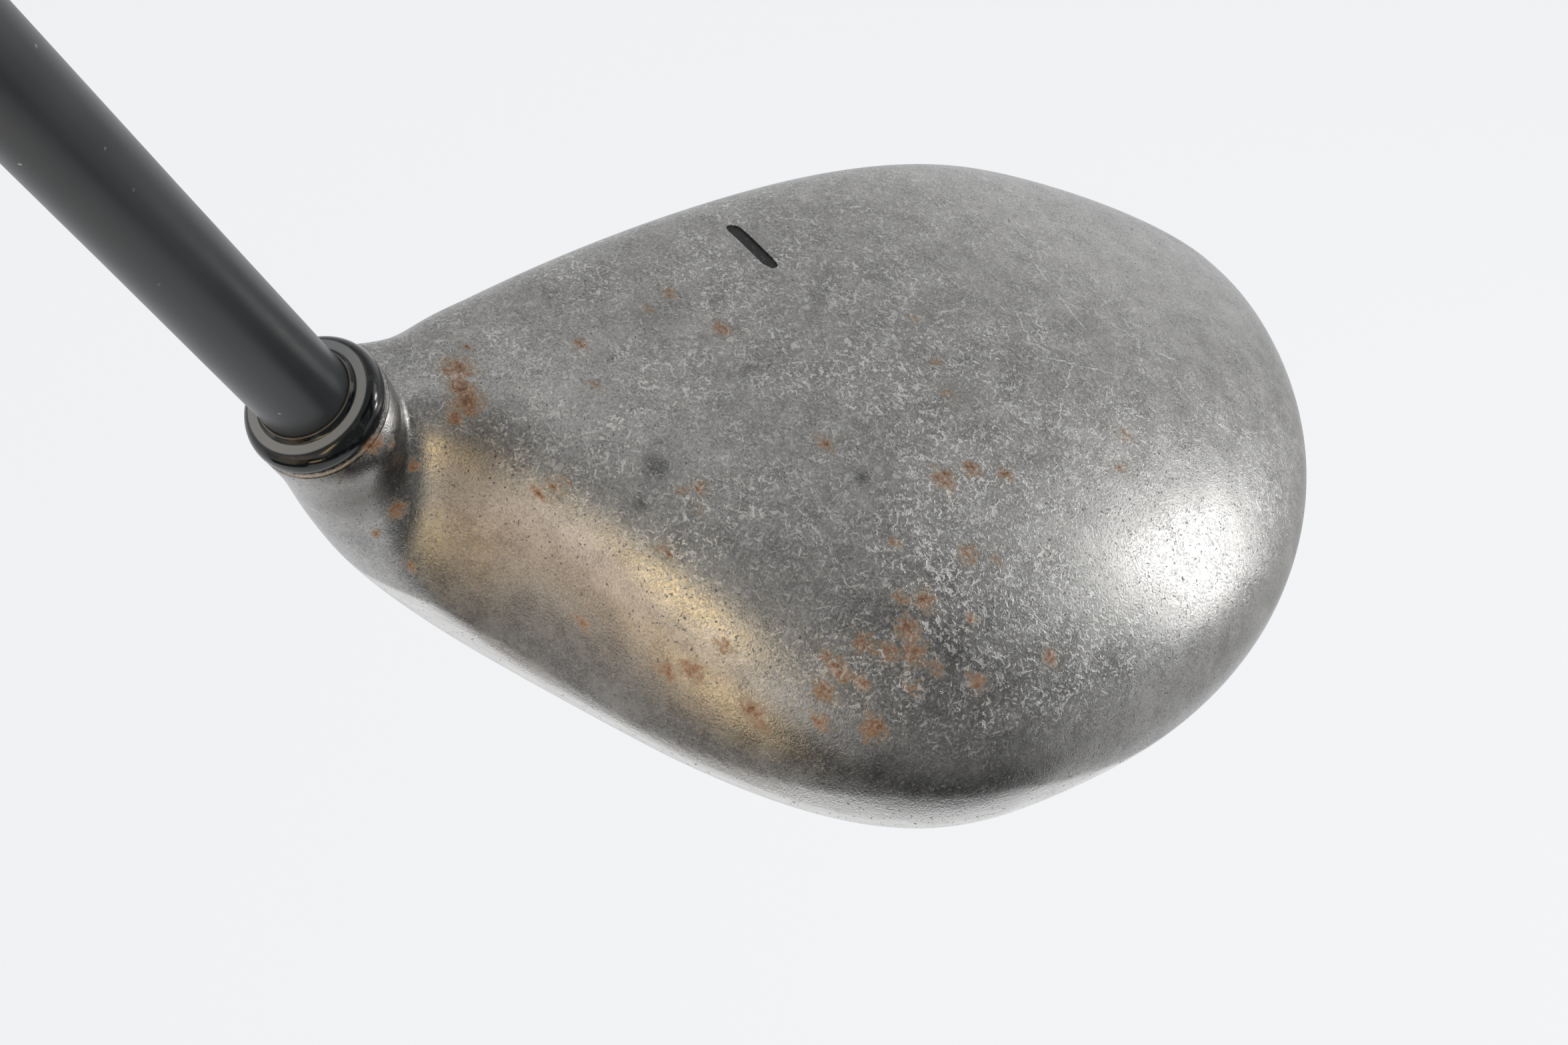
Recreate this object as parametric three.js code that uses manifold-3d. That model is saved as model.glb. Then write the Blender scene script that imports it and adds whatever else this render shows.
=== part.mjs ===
// Right-handed fairway wood golf club in its address position on level ground, in millimetres.
// +X runs from heel to toe, +Y towards the target and +Z up. The origin lies on the small flat
// where the sole touches the ground, straight under the plane that holds the shaft's axis.
// The head is a hollow stainless casting with a short neck. The shaft runs through it to the sole.
import * as THREE from 'three';
import { mergeVertices } from 'three/addons/utils/BufferGeometryUtils.js';
import Module from 'manifold-3d';

const wasm = await Module();
wasm.setup();

// Address position and the whole club
const lieAngle = THREE.MathUtils.degToRad(56.5);
const loftAngle = THREE.MathUtils.degToRad(16);
const clubLength = 1085;
const shaftGroundX = -33;

// Fits between pieces
const fitGap = 0.3;
const paintGap = 0.12;
const cutOverrun = 6;

// Head, outside form: crown, sole and rim
const crownHeight = 33;
const crownPeakX = -12.2;
const crownArcRadius = 227;
const soleArcRadius = 250;
const soleFlatDepth = 0.15;
const rimHeight = 8.3;
const backReach = 55.9;
const backPeakX = -12.5;
const backCurveSize = 49.2;
const backPower = 2.416;
const backSoftness = 14.95;

// Head, outside form: face
const faceForward = 16.1;
const faceBulgeRadius = 280;
const domeForward = 28.1;
const domePeakX = -12.5;
const domeArcRadius = 262;
const faceEdgePower = 14;

// Head, outside form: toe
const toeReach = 55.4;
const toeStartX = 0.9;
const toeSoftness = 4;
const toeCentreHeight = 15.2;
const toeCentreBack = 12.9;
const toePlanPower = 1.96;
const toeHeightPower = 2.46;

// Head, outside form: heel and neck
const heelStartX = -39;
const neckRadius = 6.6;
const neckTopHeight = 30.7;
const neckStraight = 2.83;
const heelInnerPull = 17.6;
const heelOuterPull = 17.8;
const crownPull = 24.5;
const solePull = 31.1;
const backPull = 24.6;
const backFlarePull = 10.3;
const facePull = 61.9;
const faceFlarePull = 0.55;
const joinReach = 6;

// Roundness of the head's quarter sections, as superellipse powers
const crownBackPower = 2.12;
const crownFrontPower = 2.2;
const soleBackPower = 2.25;
const soleFrontPower = 2.5;
const circlePower = 2;

// Head, walls
const crownWall = 0.9;
const soleWall = 1.7;
const faceWall = 2.4;
const tubeWall = 1.3;
const cavityStartShare = 0.43;
const faceWallShares = [0.93, 0.985];
const soleWallShares = [0.5, 0.85];

// Sole plate, let into an opening and seated on a ledge
const plateCentreX = 6;
const plateCentreBack = 16;
const plateHalfLength = 26;
const plateHalfWidth = 22;
const plateOutlinePower = 2.3;
const plateThickness = 2.1;
const ledgeThickness = 1.2;
const ledgeWidth = 2;
const padThickness = 2.5;
const padHalfLength = 15;
const padHalfWidth = 9;
const padCentreBack = 24;

// Score lines in the face
const scoreLineCount = 7;
const scoreLinePitch = 2.9;
const scoreLineWidth = 0.8;
const scoreLineDepth = 0.45;
const scoreLineHalfLength = 22;
const scoreLineCentreX = 2;
const scoreLineFirstHeight = 6.6;

// Alignment dash behind the face's top line
const dashLength = 7.5;
const dashWidth = 1.5;
const dashDepth = 0.6;
const dashPaintDepth = 0.36;
const dashCentreX = -5.2;
const dashCentreY = -0.2;

// Shaft
const tipRadius = 4.3;
const tipAlong = 8.2;
const tipParallelLength = 60;
const buttRadius = 7.6;
const tipBoreRadius = 2.3;
const shaftButtWall = 0.95;
const boreStep = 1.2;

// Tip plug, which fills the bore from the shaft's tip down to the sole
const plugStemLength = 9;

// Ferrule: lower lip, bead, flat ledge and short collar, measured up from its foot
const ferruleLipRadius = 6.5;
const beadRadius = 6.65;
const beadHeight = 0.55;
const ledgeHeight = 2.36;
const ledgeOuterRadius = 5.57;
const collarFootRadius = 5.1;
const collarTopRadius = 4.85;
const ferruleHeight = 2.92;

// Grip, tape and cap
const gripLength = 267;
const tapeThickness = 0.3;
const tapeShort = 6;
const gripMouthWall = 1.5;
const gripMouthBead = 0.5;
const gripMouthBeadLength = 5;
const gripMouthBeadShares = [0.25, 0.75];
const gripButtRadius = 13.2;
const gripButtLength = 14;
const gripUpperRadius = 12.4;
const gripUpperLength = 75;
const gripGrooveDepth = 0.5;
const gripGrooveWidth = 1.6;
const gripGrooveSpacing = 3.4;
const capRadius = 13.4;
const capRimThickness = 2;
const capCrown = 2.2;
const capShoulderShare = 0.75;
const capFlatRadius = 9;
const capStemLength = 3;
const ventRadius = 1.2;

// Counts of facets
const outsideFacets = { columns: 50, heelRows: 12, bodyRows: 9, toeRows: 11 };
const insideFacets = { columns: 30, heelRows: 7, bodyRows: 5, toeRows: 6 };
const denseColumns = 360;
const roundSides = 28;
const beadSteps = 6;
const outlineSteps = 48;
const turnSpacing = 7;

// Share of a section's height that the neck's centre takes, and how the face clears the neck
const neckMiddleShare = 0.5;
const neckFaceGapShare = 1.6;
const smallLength = 0.000001;
const weldLength = 0.004;
const slopeStep = 0.001;

// Finishes
const castSteel = new THREE.MeshStandardMaterial({ color: 0x8d8c89, roughness: 0.45, metalness: 1 });
const plateSteel = new THREE.MeshStandardMaterial({ color: 0x9a9996, roughness: 0.4, metalness: 1 });
const blackGloss = new THREE.MeshStandardMaterial({ color: 0x0d1012, roughness: 0.2 });
const shaftPaint = new THREE.MeshStandardMaterial({ color: 0x23272a, roughness: 0.35 });
const blackPaint = new THREE.MeshStandardMaterial({ color: 0x101214, roughness: 0.7 });
const gripRubber = new THREE.MeshStandardMaterial({ color: 0x1a1b1c, roughness: 0.9 });
const capRubber = new THREE.MeshStandardMaterial({ color: 0x121314, roughness: 0.75 });
const yellowFoam = new THREE.MeshStandardMaterial({ color: 0xc9b26a, roughness: 0.95 });
const tapePaper = new THREE.MeshStandardMaterial({ color: 0xcbbf9f, roughness: 0.9 });

// Directions worked out from the address position
const shaftDirection = new THREE.Vector3(-Math.cos(lieAngle), 0, Math.sin(lieAngle));
const shaftTurn = new THREE.Quaternion().setFromUnitVectors(new THREE.Vector3(0, 1, 0), shaftDirection);
const shaftPlace = new THREE.Matrix4().compose(
  new THREE.Vector3(shaftGroundX, 0, 0), shaftTurn, new THREE.Vector3(1, 1, 1));
const neckTopAlong = neckTopHeight / Math.sin(lieAngle);
const boreRadius = tipRadius + fitGap;
const tubeRadius = boreRadius + tubeWall;
const heelRun = (crownPull + solePull) / 2;
const neckRun = (neckStraight * heelRun) / heelOuterPull;

// A point on the head's middle plane, at a distance along the shaft's axis from the ground and
// an offset square to it, towards the toe
function besideAxis(along, offset) {
  const x = shaftGroundX + along * shaftDirection.x + offset * Math.sin(lieAngle);
  const z = along * shaftDirection.z + offset * Math.cos(lieAngle);
  return new THREE.Vector2(x, z);
}

// The positive part of a value, rounded off over a width
const softPart = (value, width) => (value + Math.hypot(value, width)) / 2;

// Outer lines of the head, each as a function of the station X
const crownZ = (x) => crownHeight - (x - crownPeakX) ** 2 / (2 * crownArcRadius);
const soleZ = (x) => x ** 2 / (2 * soleArcRadius) - soleFlatDepth;
const backY = (x) => softPart(backPeakX - x, backSoftness) ** backPower / (2 * backCurveSize) - backReach;
const faceY = (x) => faceForward - x ** 2 / (2 * faceBulgeRadius);
const domeY = (x) => domeForward - (x - domePeakX) ** 2 / (2 * domeArcRadius);
const slope = (line, x) => (line(x + slopeStep) - line(x - slopeStep)) / (2 * slopeStep);

// Cubic between two values with a pull at each end
function blend(from, to, pullFrom, pullTo, share) {
  const square = share * share;
  const cube = square * share;
  const moved = from + (to - from) * (3 * square - 2 * cube);
  return moved + pullFrom * (cube - 2 * square + share) + pullTo * (cube - square);
}

// Sections of the head from the neck's top to the toe. Each has the two rail points on its plane,
// the furthest back and front, the height share of its widest place and the distance to the face.
function neckSection(along) {
  return {
    inner: besideAxis(along, neckRadius),
    outer: besideAxis(along, -neckRadius),
    back: -neckRadius,
    dome: neckRadius,
    middle: 0,
    rimShare: neckMiddleShare,
    faceGap: neckFaceGapShare * neckRadius,
    faceWeight: 0,
  };
}

// Section of the neck, where the share is below 0, and of the heel, from 0 to the body at 1. The
// outer rail and the front stay straight over the neck. The inner rail and the back are one cubic
// each from the neck's top to the body, which makes the fillet under the ferrule.
function heelSection(along) {
  const share = Math.max(along, 0);
  const neckTop = neckSection(neckTopAlong);
  const start = neckSection(neckTopAlong - neckStraight);
  const endTop = crownZ(heelStartX);
  const endBottom = soleZ(heelStartX);
  const down = new THREE.Vector2(-shaftDirection.x, -shaftDirection.z);
  const rail = (from, toZ, pullFrom, pullTo, line, at) => new THREE.Vector2(
    blend(from.x, heelStartX, pullFrom * down.x, pullTo, at),
    blend(from.y, toZ, pullFrom * down.y, pullTo * slope(line, heelStartX), at));
  const whole = (along * heelRun + neckRun) / (heelRun + neckRun);
  const stretch = (heelRun + neckRun) / heelRun;
  const backSlope = stretch * backPull * slope(backY, heelStartX);
  const outer = rail(start.outer, endBottom, heelOuterPull, solePull, soleZ, share);
  const endRim = (rimHeight - endBottom) / (endTop - endBottom);
  return {
    inner: rail(neckTop.inner, endTop, heelInnerPull, stretch * crownPull, crownZ, whole),
    outer: outer.addScaledVector(down, heelOuterPull * Math.min(along, 0)),
    back: blend(neckTop.back, backY(heelStartX), -backFlarePull, backSlope, whole),
    dome: blend(start.dome, domeY(heelStartX), faceFlarePull, facePull * slope(domeY, heelStartX), share),
    middle: 0,
    rimShare: blend(start.rimShare, endRim, 0, 0, share),
    faceGap: blend(start.faceGap, faceY(heelStartX), 0, facePull * slope(faceY, heelStartX), share),
    faceWeight: blend(0, 1, 0, 0, Math.min(share, 1)),
  };
}

function bodySection(x) {
  const run = softPart(x - toeStartX, toeSoftness) / softPart(toeReach - toeStartX, toeSoftness);
  const open = Math.max(0, 1 - run ** toePlanPower) ** (1 / toePlanPower);
  const tall = Math.max(0, 1 - run ** toeHeightPower) ** (1 / toeHeightPower);
  const rimZ = rimHeight * tall + toeCentreHeight * (1 - tall);
  const middle = -toeCentreBack * (1 - open);
  const topZ = rimZ + (crownZ(x) - rimHeight) * tall;
  const bottomZ = rimZ - (rimHeight - soleZ(x)) * tall;
  return {
    inner: new THREE.Vector2(x, topZ),
    outer: new THREE.Vector2(x, bottomZ),
    back: middle + backY(x) * open,
    dome: middle + domeY(x) * open,
    middle,
    rimShare: (rimZ - bottomZ) / Math.max(topZ - bottomZ, smallLength),
    faceGap: Math.max(faceY(x) - middle, smallLength),
    faceWeight: 1,
  };
}

// Section at a run from the join between heel and body, negative towards the neck. The two laws
// cross over softly within the join's reach.
function sectionAt(run) {
  if (run <= -joinReach) return heelSection(1 + run / heelRun);
  if (run >= joinReach) return bodySection(heelStartX + run);
  const heel = heelSection(1 + run / heelRun);
  const body = bodySection(heelStartX + run);
  const share = THREE.MathUtils.smoothstep(run, -joinReach, joinReach);
  const mixed = {
    inner: heel.inner.clone().lerp(body.inner, share),
    outer: heel.outer.clone().lerp(body.outer, share),
  };
  ['back', 'dome', 'middle', 'rimShare', 'faceGap', 'faceWeight'].forEach((key) => {
    mixed[key] = THREE.MathUtils.lerp(heel[key], body[key], share);
  });
  return mixed;
}

// One section as a closed ring of points. The crown and sole are superellipse quarters, cut at
// the front by the lofted face with a soft edge. Points lie closer together where it turns.
function sectionRing(section, columns) {
  const height = Math.max(section.inner.distanceTo(section.outer), smallLength);
  const axis = section.inner.clone().sub(section.outer).divideScalar(height);
  const bottom = Math.max(section.rimShare * height, smallLength);
  const top = Math.max(height - bottom, smallLength);
  const front = Math.max(section.dome - section.middle, smallLength);
  const rear = Math.max(section.middle - section.back, smallLength);
  const power = (full) => circlePower + (full - circlePower) * section.faceWeight;
  const loft = loftAngle * section.faceWeight;
  const plane = [];
  for (let i = 0; i <= denseColumns; i += 1) {
    const angle = (2 * Math.PI * i) / denseColumns;
    const c = Math.cos(angle);
    const s = Math.sin(angle);
    const upper = s > 0 ? power(c > 0 ? crownFrontPower : crownBackPower) : 0;
    const n = upper || power(c > 0 ? soleFrontPower : soleBackPower);
    const across = Math.abs(c) / (c > 0 ? front : rear);
    const along = Math.abs(s) / (s > 0 ? top : bottom);
    const round = (across ** n + along ** n) ** (-1 / n);
    const facing = Math.max(0, (c * Math.cos(loft) + s * Math.sin(loft)) / section.faceGap);
    const radius = (round ** -faceEdgePower + facing ** faceEdgePower) ** (-1 / faceEdgePower);
    plane.push(new THREE.Vector2(radius * c, radius * s));
  }
  const travelled = [0];
  for (let i = 1; i <= denseColumns; i += 1) {
    const step = plane[i].clone().sub(plane[i - 1]);
    const next = plane[(i % denseColumns) + 1].clone().sub(plane[i]);
    const turn = Math.abs(Math.atan2(step.cross(next), step.dot(next)));
    travelled.push(travelled[i - 1] + step.length() + turnSpacing * turn);
  }
  const ring = [];
  let k = 0;
  for (let j = 0; j < columns; j += 1) {
    const target = (travelled[denseColumns] * j) / columns;
    while (travelled[k + 1] < target) k += 1;
    const share = (target - travelled[k]) / Math.max(travelled[k + 1] - travelled[k], smallLength);
    const point = plane[k].clone().lerp(plane[k + 1], share);
    const rise = bottom + point.y;
    ring.push(new THREE.Vector3(
      section.outer.x + axis.x * rise, section.middle + point.x, section.outer.y + axis.y * rise));
  }
  return ring;
}

// All rings of the head, the last one shrunk to the toe's tip
function headRings(facets) {
  const sections = [];
  for (let i = 0; i < facets.heelRows; i += 1) {
    sections.push(sectionAt((heelRun + neckRun) * (i / facets.heelRows - 1)));
  }
  for (let i = 0; i < facets.bodyRows; i += 1) {
    sections.push(sectionAt(((toeStartX - heelStartX) * i) / facets.bodyRows));
  }
  for (let i = 0; i <= facets.toeRows; i += 1) {
    const reach = Math.sin((Math.PI / 2) * (i / facets.toeRows));
    sections.push(sectionAt(toeStartX - heelStartX + (toeReach - toeStartX) * reach));
  }
  return sections.map((section) => sectionRing(section, facets.columns));
}

// Outward normals on the grid of rings, by differences along and round
function ringNormals(rings) {
  return rings.map((ring, i) => ring.map((point, j) => {
    const before = rings[Math.max(i - 1, 0)][j];
    const after = rings[Math.min(i + 1, rings.length - 1)][j];
    const left = ring[(j + ring.length - 1) % ring.length];
    const right = ring[(j + 1) % ring.length];
    const run = after.clone().sub(before);
    const round = right.clone().sub(left);
    const normal = round.cross(run);
    return normal.lengthSq() > 0 ? normal.normalize() : new THREE.Vector3(1, 0, 0);
  }));
}

// Rings moved inwards by a depth that may depend on the surface's direction
function insetRings(rings, depthAt, firstRow = 0) {
  const normals = ringNormals(rings);
  const moved = [];
  for (let i = firstRow; i < rings.length - 1; i += 1) {
    moved.push(rings[i].map((point, j) => {
      const normal = normals[i][j];
      return point.clone().addScaledVector(normal, -depthAt(normal));
    }));
  }
  const tip = rings[rings.length - 1][0].clone();
  tip.x -= depthAt(new THREE.Vector3(1, 0, 0));
  moved.push(rings[0].map(() => tip.clone()));
  return moved;
}

// Solid between a flat cap on the first ring and the pole at the last
function ringsToSolid(rings) {
  const columns = rings[0].length;
  const positions = [];
  const faces = [];
  const capCentre = new THREE.Vector3();
  rings[0].forEach((point) => capCentre.addScaledVector(point, 1 / columns));
  rings.slice(0, -1).forEach((ring) => ring.forEach((point) => positions.push(...point.toArray())));
  const capIndex = positions.length / 3;
  positions.push(...capCentre.toArray());
  const poleIndex = capIndex + 1;
  positions.push(...rings[rings.length - 1][0].toArray());
  const last = rings.length - 2;
  for (let j = 0; j < columns; j += 1) {
    const next = (j + 1) % columns;
    faces.push(capIndex, next, j);
    for (let i = 0; i < last; i += 1) {
      const a = i * columns + j;
      const b = i * columns + next;
      const c = a + columns;
      const d = b + columns;
      faces.push(a, b, d, a, d, c);
    }
    faces.push(last * columns + j, last * columns + next, poleIndex);
  }
  return meshToSolid(positions, faces);
}

function meshToSolid(positions, faces) {
  return new wasm.Manifold(new wasm.Mesh({
    numProp: 3,
    vertProperties: new Float32Array(positions),
    triVerts: new Uint32Array(faces),
  }));
}

function toSolid(geometry, place) {
  const bare = geometry.clone();
  bare.deleteAttribute('normal');
  bare.deleteAttribute('uv');
  if (place) bare.applyMatrix4(place);
  const merged = mergeVertices(bare);
  return meshToSolid(Array.from(merged.attributes.position.array), Array.from(merged.index.array));
}

// Faces left when edges shorter than the weld length close up: a face that loses an edge goes,
// and so does a pair that comes to lie back to back
function weldShortEdges(positions, faces) {
  const root = Array.from({ length: positions.length / 3 }, (_, i) => i);
  const find = (i) => (root[i] === i ? i : find(root[i]));
  const point = (i) => new THREE.Vector3().fromArray(positions, 3 * i);
  for (let i = 0; i < faces.length; i += 3) {
    for (let k = 0; k < 3; k += 1) {
      const a = find(faces[i + k]);
      const b = find(faces[i + ((k + 1) % 3)]);
      if (a !== b && point(a).distanceTo(point(b)) < weldLength) root[Math.max(a, b)] = Math.min(a, b);
    }
  }
  const kept = new Map();
  for (let i = 0; i < faces.length; i += 3) {
    const face = [find(faces[i]), find(faces[i + 1]), find(faces[i + 2])];
    const key = [...face].sort((a, b) => a - b).join(' ');
    if (new Set(face).size === 3 && !kept.delete(key)) kept.set(key, face);
  }
  return [...kept.values()].flat();
}

function toMesh(name, solid, material) {
  const mesh = solid.getMesh();
  const geometry = new THREE.BufferGeometry();
  const positions = new Float32Array(mesh.vertProperties);
  const faces = weldShortEdges(positions, mesh.triVerts);
  geometry.setAttribute('position', new THREE.BufferAttribute(positions, 3));
  geometry.setIndex(new THREE.BufferAttribute(new Uint32Array(faces), 1));
  geometry.computeVertexNormals();
  const part = new THREE.Mesh(geometry, material);
  part.name = name;
  return part;
}

// Cylinder about the shaft's axis between two distances from the ground
function axisCylinder(radius, from, to, sides) {
  const geometry = new THREE.CylinderGeometry(radius, radius, to - from, sides);
  geometry.translate(0, (from + to) / 2, 0);
  return toSolid(geometry, shaftPlace);
}

function placedBox(sizeX, sizeY, sizeZ, centre, turnX) {
  const turn = new THREE.Quaternion().setFromAxisAngle(new THREE.Vector3(1, 0, 0), turnX);
  const place = new THREE.Matrix4().compose(centre, turn, new THREE.Vector3(1, 1, 1));
  return toSolid(new THREE.BoxGeometry(sizeX, sizeY, sizeZ), place);
}

// Upright prism over a superellipse outline on the sole, from below the ground to a height
function outlinePrism(centreX, centreBack, halfLength, halfWidth, grow, height) {
  const outline = new THREE.Shape();
  const long = halfLength + grow;
  const wide = halfWidth + grow;
  for (let i = 0; i < outlineSteps; i += 1) {
    const angle = (2 * Math.PI * i) / outlineSteps;
    const c = Math.cos(angle);
    const s = Math.sin(angle);
    const x = centreX + long * Math.sign(c) * Math.abs(c) ** (2 / plateOutlinePower);
    const y = -centreBack + wide * Math.sign(s) * Math.abs(s) ** (2 / plateOutlinePower);
    if (i === 0) outline.moveTo(x, y);
    else outline.lineTo(x, y);
  }
  outline.closePath();
  const geometry = new THREE.ExtrudeGeometry(outline, { depth: height + cutOverrun, bevelEnabled: false });
  geometry.translate(0, 0, -cutOverrun);
  return toSolid(geometry);
}

// Wall thickness of the head by the way the surface looks
const faceNormal = new THREE.Vector3(0, Math.cos(loftAngle), Math.sin(loftAngle));
function wallAt(normal, extra, soleDepth) {
  const onFace = THREE.MathUtils.smoothstep(normal.dot(faceNormal), faceWallShares[0], faceWallShares[1]);
  const onSole = THREE.MathUtils.smoothstep(-normal.z, soleWallShares[0], soleWallShares[1]);
  return crownWall + extra + (faceWall - crownWall) * onFace + (soleDepth - crownWall - extra) * onSole;
}

const cavityRow = Math.round(insideFacets.heelRows * cavityStartShare);
const outsideRings = headRings(outsideFacets);
const insideRings = headRings(insideFacets);
const outerSolid = ringsToSolid(outsideRings);
const insetSolid = (depth) => ringsToSolid(insetRings(outsideRings, () => depth));
const cavitySolid = (depthAt) => ringsToSolid(insetRings(insideRings, depthAt, cavityRow));
const plateOutline = (grow) => outlinePrism(
  plateCentreX, plateCentreBack, plateHalfLength, plateHalfWidth, grow, rimHeight);
const padOutline = (grow) => outlinePrism(
  plateCentreX, padCentreBack, padHalfLength, padHalfWidth, grow, rimHeight);
const belowGround = placedBox(
  clubLength, clubLength, cutOverrun, new THREE.Vector3(0, 0, -cutOverrun / 2), 0);

// Hollow casting: crown, face, skirt, heel and neck, with the through tube and the sole's opening
function headBody() {
  const seat = plateThickness + fitGap;
  const tube = axisCylinder(tubeRadius, -cutOverrun, neckTopAlong + cutOverrun, roundSides);
  const ledgeBand = plateOutline(ledgeWidth).subtract(plateOutline(-ledgeWidth));
  const ledge = ledgeBand.subtract(insetSolid(seat + ledgeThickness));
  const walls = cavitySolid((normal) => wallAt(normal, 0, soleWall));
  const cavity = walls.subtract(tube).subtract(ledge);
  const opening = plateOutline(0).subtract(insetSolid(seat));
  const bore = axisCylinder(boreRadius, -cutOverrun, neckTopAlong + cutOverrun, roundSides);
  const hollow = outerSolid.subtract(cavity).subtract(opening).subtract(bore);
  return hollow.subtract(scoreLines()).subtract(dashRecess()).subtract(belowGround);
}

// Straight grooves of even depth across the face
function scoreLines() {
  let lines = null;
  for (let i = 0; i < scoreLineCount; i += 1) {
    const z = scoreLineFirstHeight + i * scoreLinePitch;
    const y = faceForward / Math.cos(loftAngle) - (z - rimHeight) * Math.tan(loftAngle);
    const slab = placedBox(
      2 * scoreLineHalfLength, cutOverrun, scoreLineWidth,
      new THREE.Vector3(scoreLineCentreX, y, z), loftAngle);
    lines = lines ? lines.add(slab) : slab;
  }
  return lines.subtract(insetSolid(scoreLineDepth));
}

// Short plain dash in the crown behind the face, in line with the target
function dashBlock(gap) {
  return placedBox(
    dashWidth - 2 * gap, dashLength - 2 * gap, cutOverrun,
    new THREE.Vector3(dashCentreX, dashCentreY, crownHeight), 0);
}

function dashRecess() {
  return dashBlock(0).subtract(insetSolid(dashDepth));
}

function dashPaint() {
  const top = dashDepth - paintGap - dashPaintDepth;
  const layer = insetSolid(top).subtract(insetSolid(dashDepth - paintGap));
  return dashBlock(paintGap).intersect(layer);
}

// Plate that closes the sole, with a thicker weight pad inside towards the back
function solePlate() {
  const skin = plateOutline(-fitGap).intersect(outerSolid).subtract(insetSolid(plateThickness));
  const pad = padOutline(0).intersect(outerSolid).subtract(insetSolid(plateThickness + padThickness));
  return skin.add(pad).subtract(belowGround);
}

// Foam that fills the hollow on the toe side of the through tube
function foamCore() {
  const seat = plateThickness + ledgeThickness + 2 * fitGap;
  const filling = cavitySolid((normal) => wallAt(normal, fitGap, seat));
  const padSpace = padOutline(fitGap).subtract(insetSolid(plateThickness + padThickness + fitGap));
  const keep = new THREE.BoxGeometry(toeReach * 2, clubLength, clubLength);
  keep.translate(toeReach + tubeRadius + fitGap, 0, 0);
  const lean = new THREE.Matrix4().makeRotationY(-(Math.PI / 2 - lieAngle));
  lean.setPosition(shaftGroundX, 0, 0);
  return filling.subtract(padSpace).intersect(toSolid(keep, lean));
}

// Body turned about its own +Y axis from a closed profile of [radius, height] pairs
function turned(name, profile, material, sides) {
  const points = profile.map(([radius, along]) => new THREE.Vector2(radius, along));
  points.push(points[0].clone());
  const part = new THREE.Mesh(new THREE.LatheGeometry(points, sides), material);
  part.name = name;
  return part;
}

// Sizes along the shaft, from the ground
const capTopAlong = clubLength;
const gripTopAlong = capTopAlong - capRimThickness - capCrown - fitGap;
const shaftTopAlong = gripTopAlong - capStemLength - fitGap;
const gripMouthAlong = capTopAlong - gripLength;
const taper = (buttRadius - tipRadius) / (shaftTopAlong - tipAlong - tipParallelLength);
const shaftRadiusAt = (along) => tipRadius + taper * Math.max(0, along - tipAlong - tipParallelLength);

// Tapered graphite tube from the sole to the butt
function shaft() {
  const parallelEnd = tipAlong + tipParallelLength;
  const boreTop = buttRadius - shaftButtWall;
  const profile = [
    [tipRadius, tipAlong],
    [tipRadius, parallelEnd],
    [shaftRadiusAt(gripMouthAlong), gripMouthAlong],
    [buttRadius, shaftTopAlong],
    [boreTop, shaftTopAlong],
    [shaftRadiusAt(gripMouthAlong) - shaftButtWall, gripMouthAlong],
    [tipBoreRadius + boreStep, parallelEnd + tipParallelLength],
    [tipBoreRadius, parallelEnd],
    [tipBoreRadius, tipAlong],
  ];
  return turned('shaft', profile, shaftPaint, roundSides);
}

// Plug in the shaft's tip, its flange cut flush with the sole
function tipPlug() {
  const stem = axisCylinder(tipBoreRadius - fitGap, 0, tipAlong + plugStemLength, roundSides);
  const flange = axisCylinder(tipRadius, -cutOverrun, tipAlong - fitGap, roundSides);
  return stem.add(flange).intersect(outerSolid).subtract(belowGround);
}

// Moulded ferrule on the neck's top
function ferrule() {
  const foot = neckTopAlong + fitGap;
  const inside = tipRadius + fitGap;
  const bulge = beadRadius - ledgeOuterRadius;
  const profile = [[inside, foot], [ferruleLipRadius, foot]];
  for (let i = 0; i <= beadSteps; i += 1) {
    const angle = (Math.PI / 2) * (i / beadSteps);
    const height = beadHeight + (ledgeHeight - beadHeight) * Math.sin(angle);
    profile.push([ledgeOuterRadius + bulge * Math.cos(angle), foot + height]);
  }
  profile.push([collarFootRadius, foot + ledgeHeight]);
  profile.push([collarTopRadius, foot + ferruleHeight]);
  profile.push([inside, foot + ferruleHeight]);
  return turned('ferrule', profile, blackGloss, roundSides);
}

// Double-sided tape under the grip
function gripTape() {
  const bottom = gripMouthAlong + tapeShort;
  const top = shaftTopAlong - tapeShort;
  const profile = [
    [shaftRadiusAt(bottom) + fitGap, bottom],
    [shaftRadiusAt(bottom) + fitGap + tapeThickness, bottom],
    [shaftRadiusAt(top) + fitGap + tapeThickness, top],
    [shaftRadiusAt(top) + fitGap, top],
  ];
  return turned('grip_tape', profile, tapePaper, roundSides);
}

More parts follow.
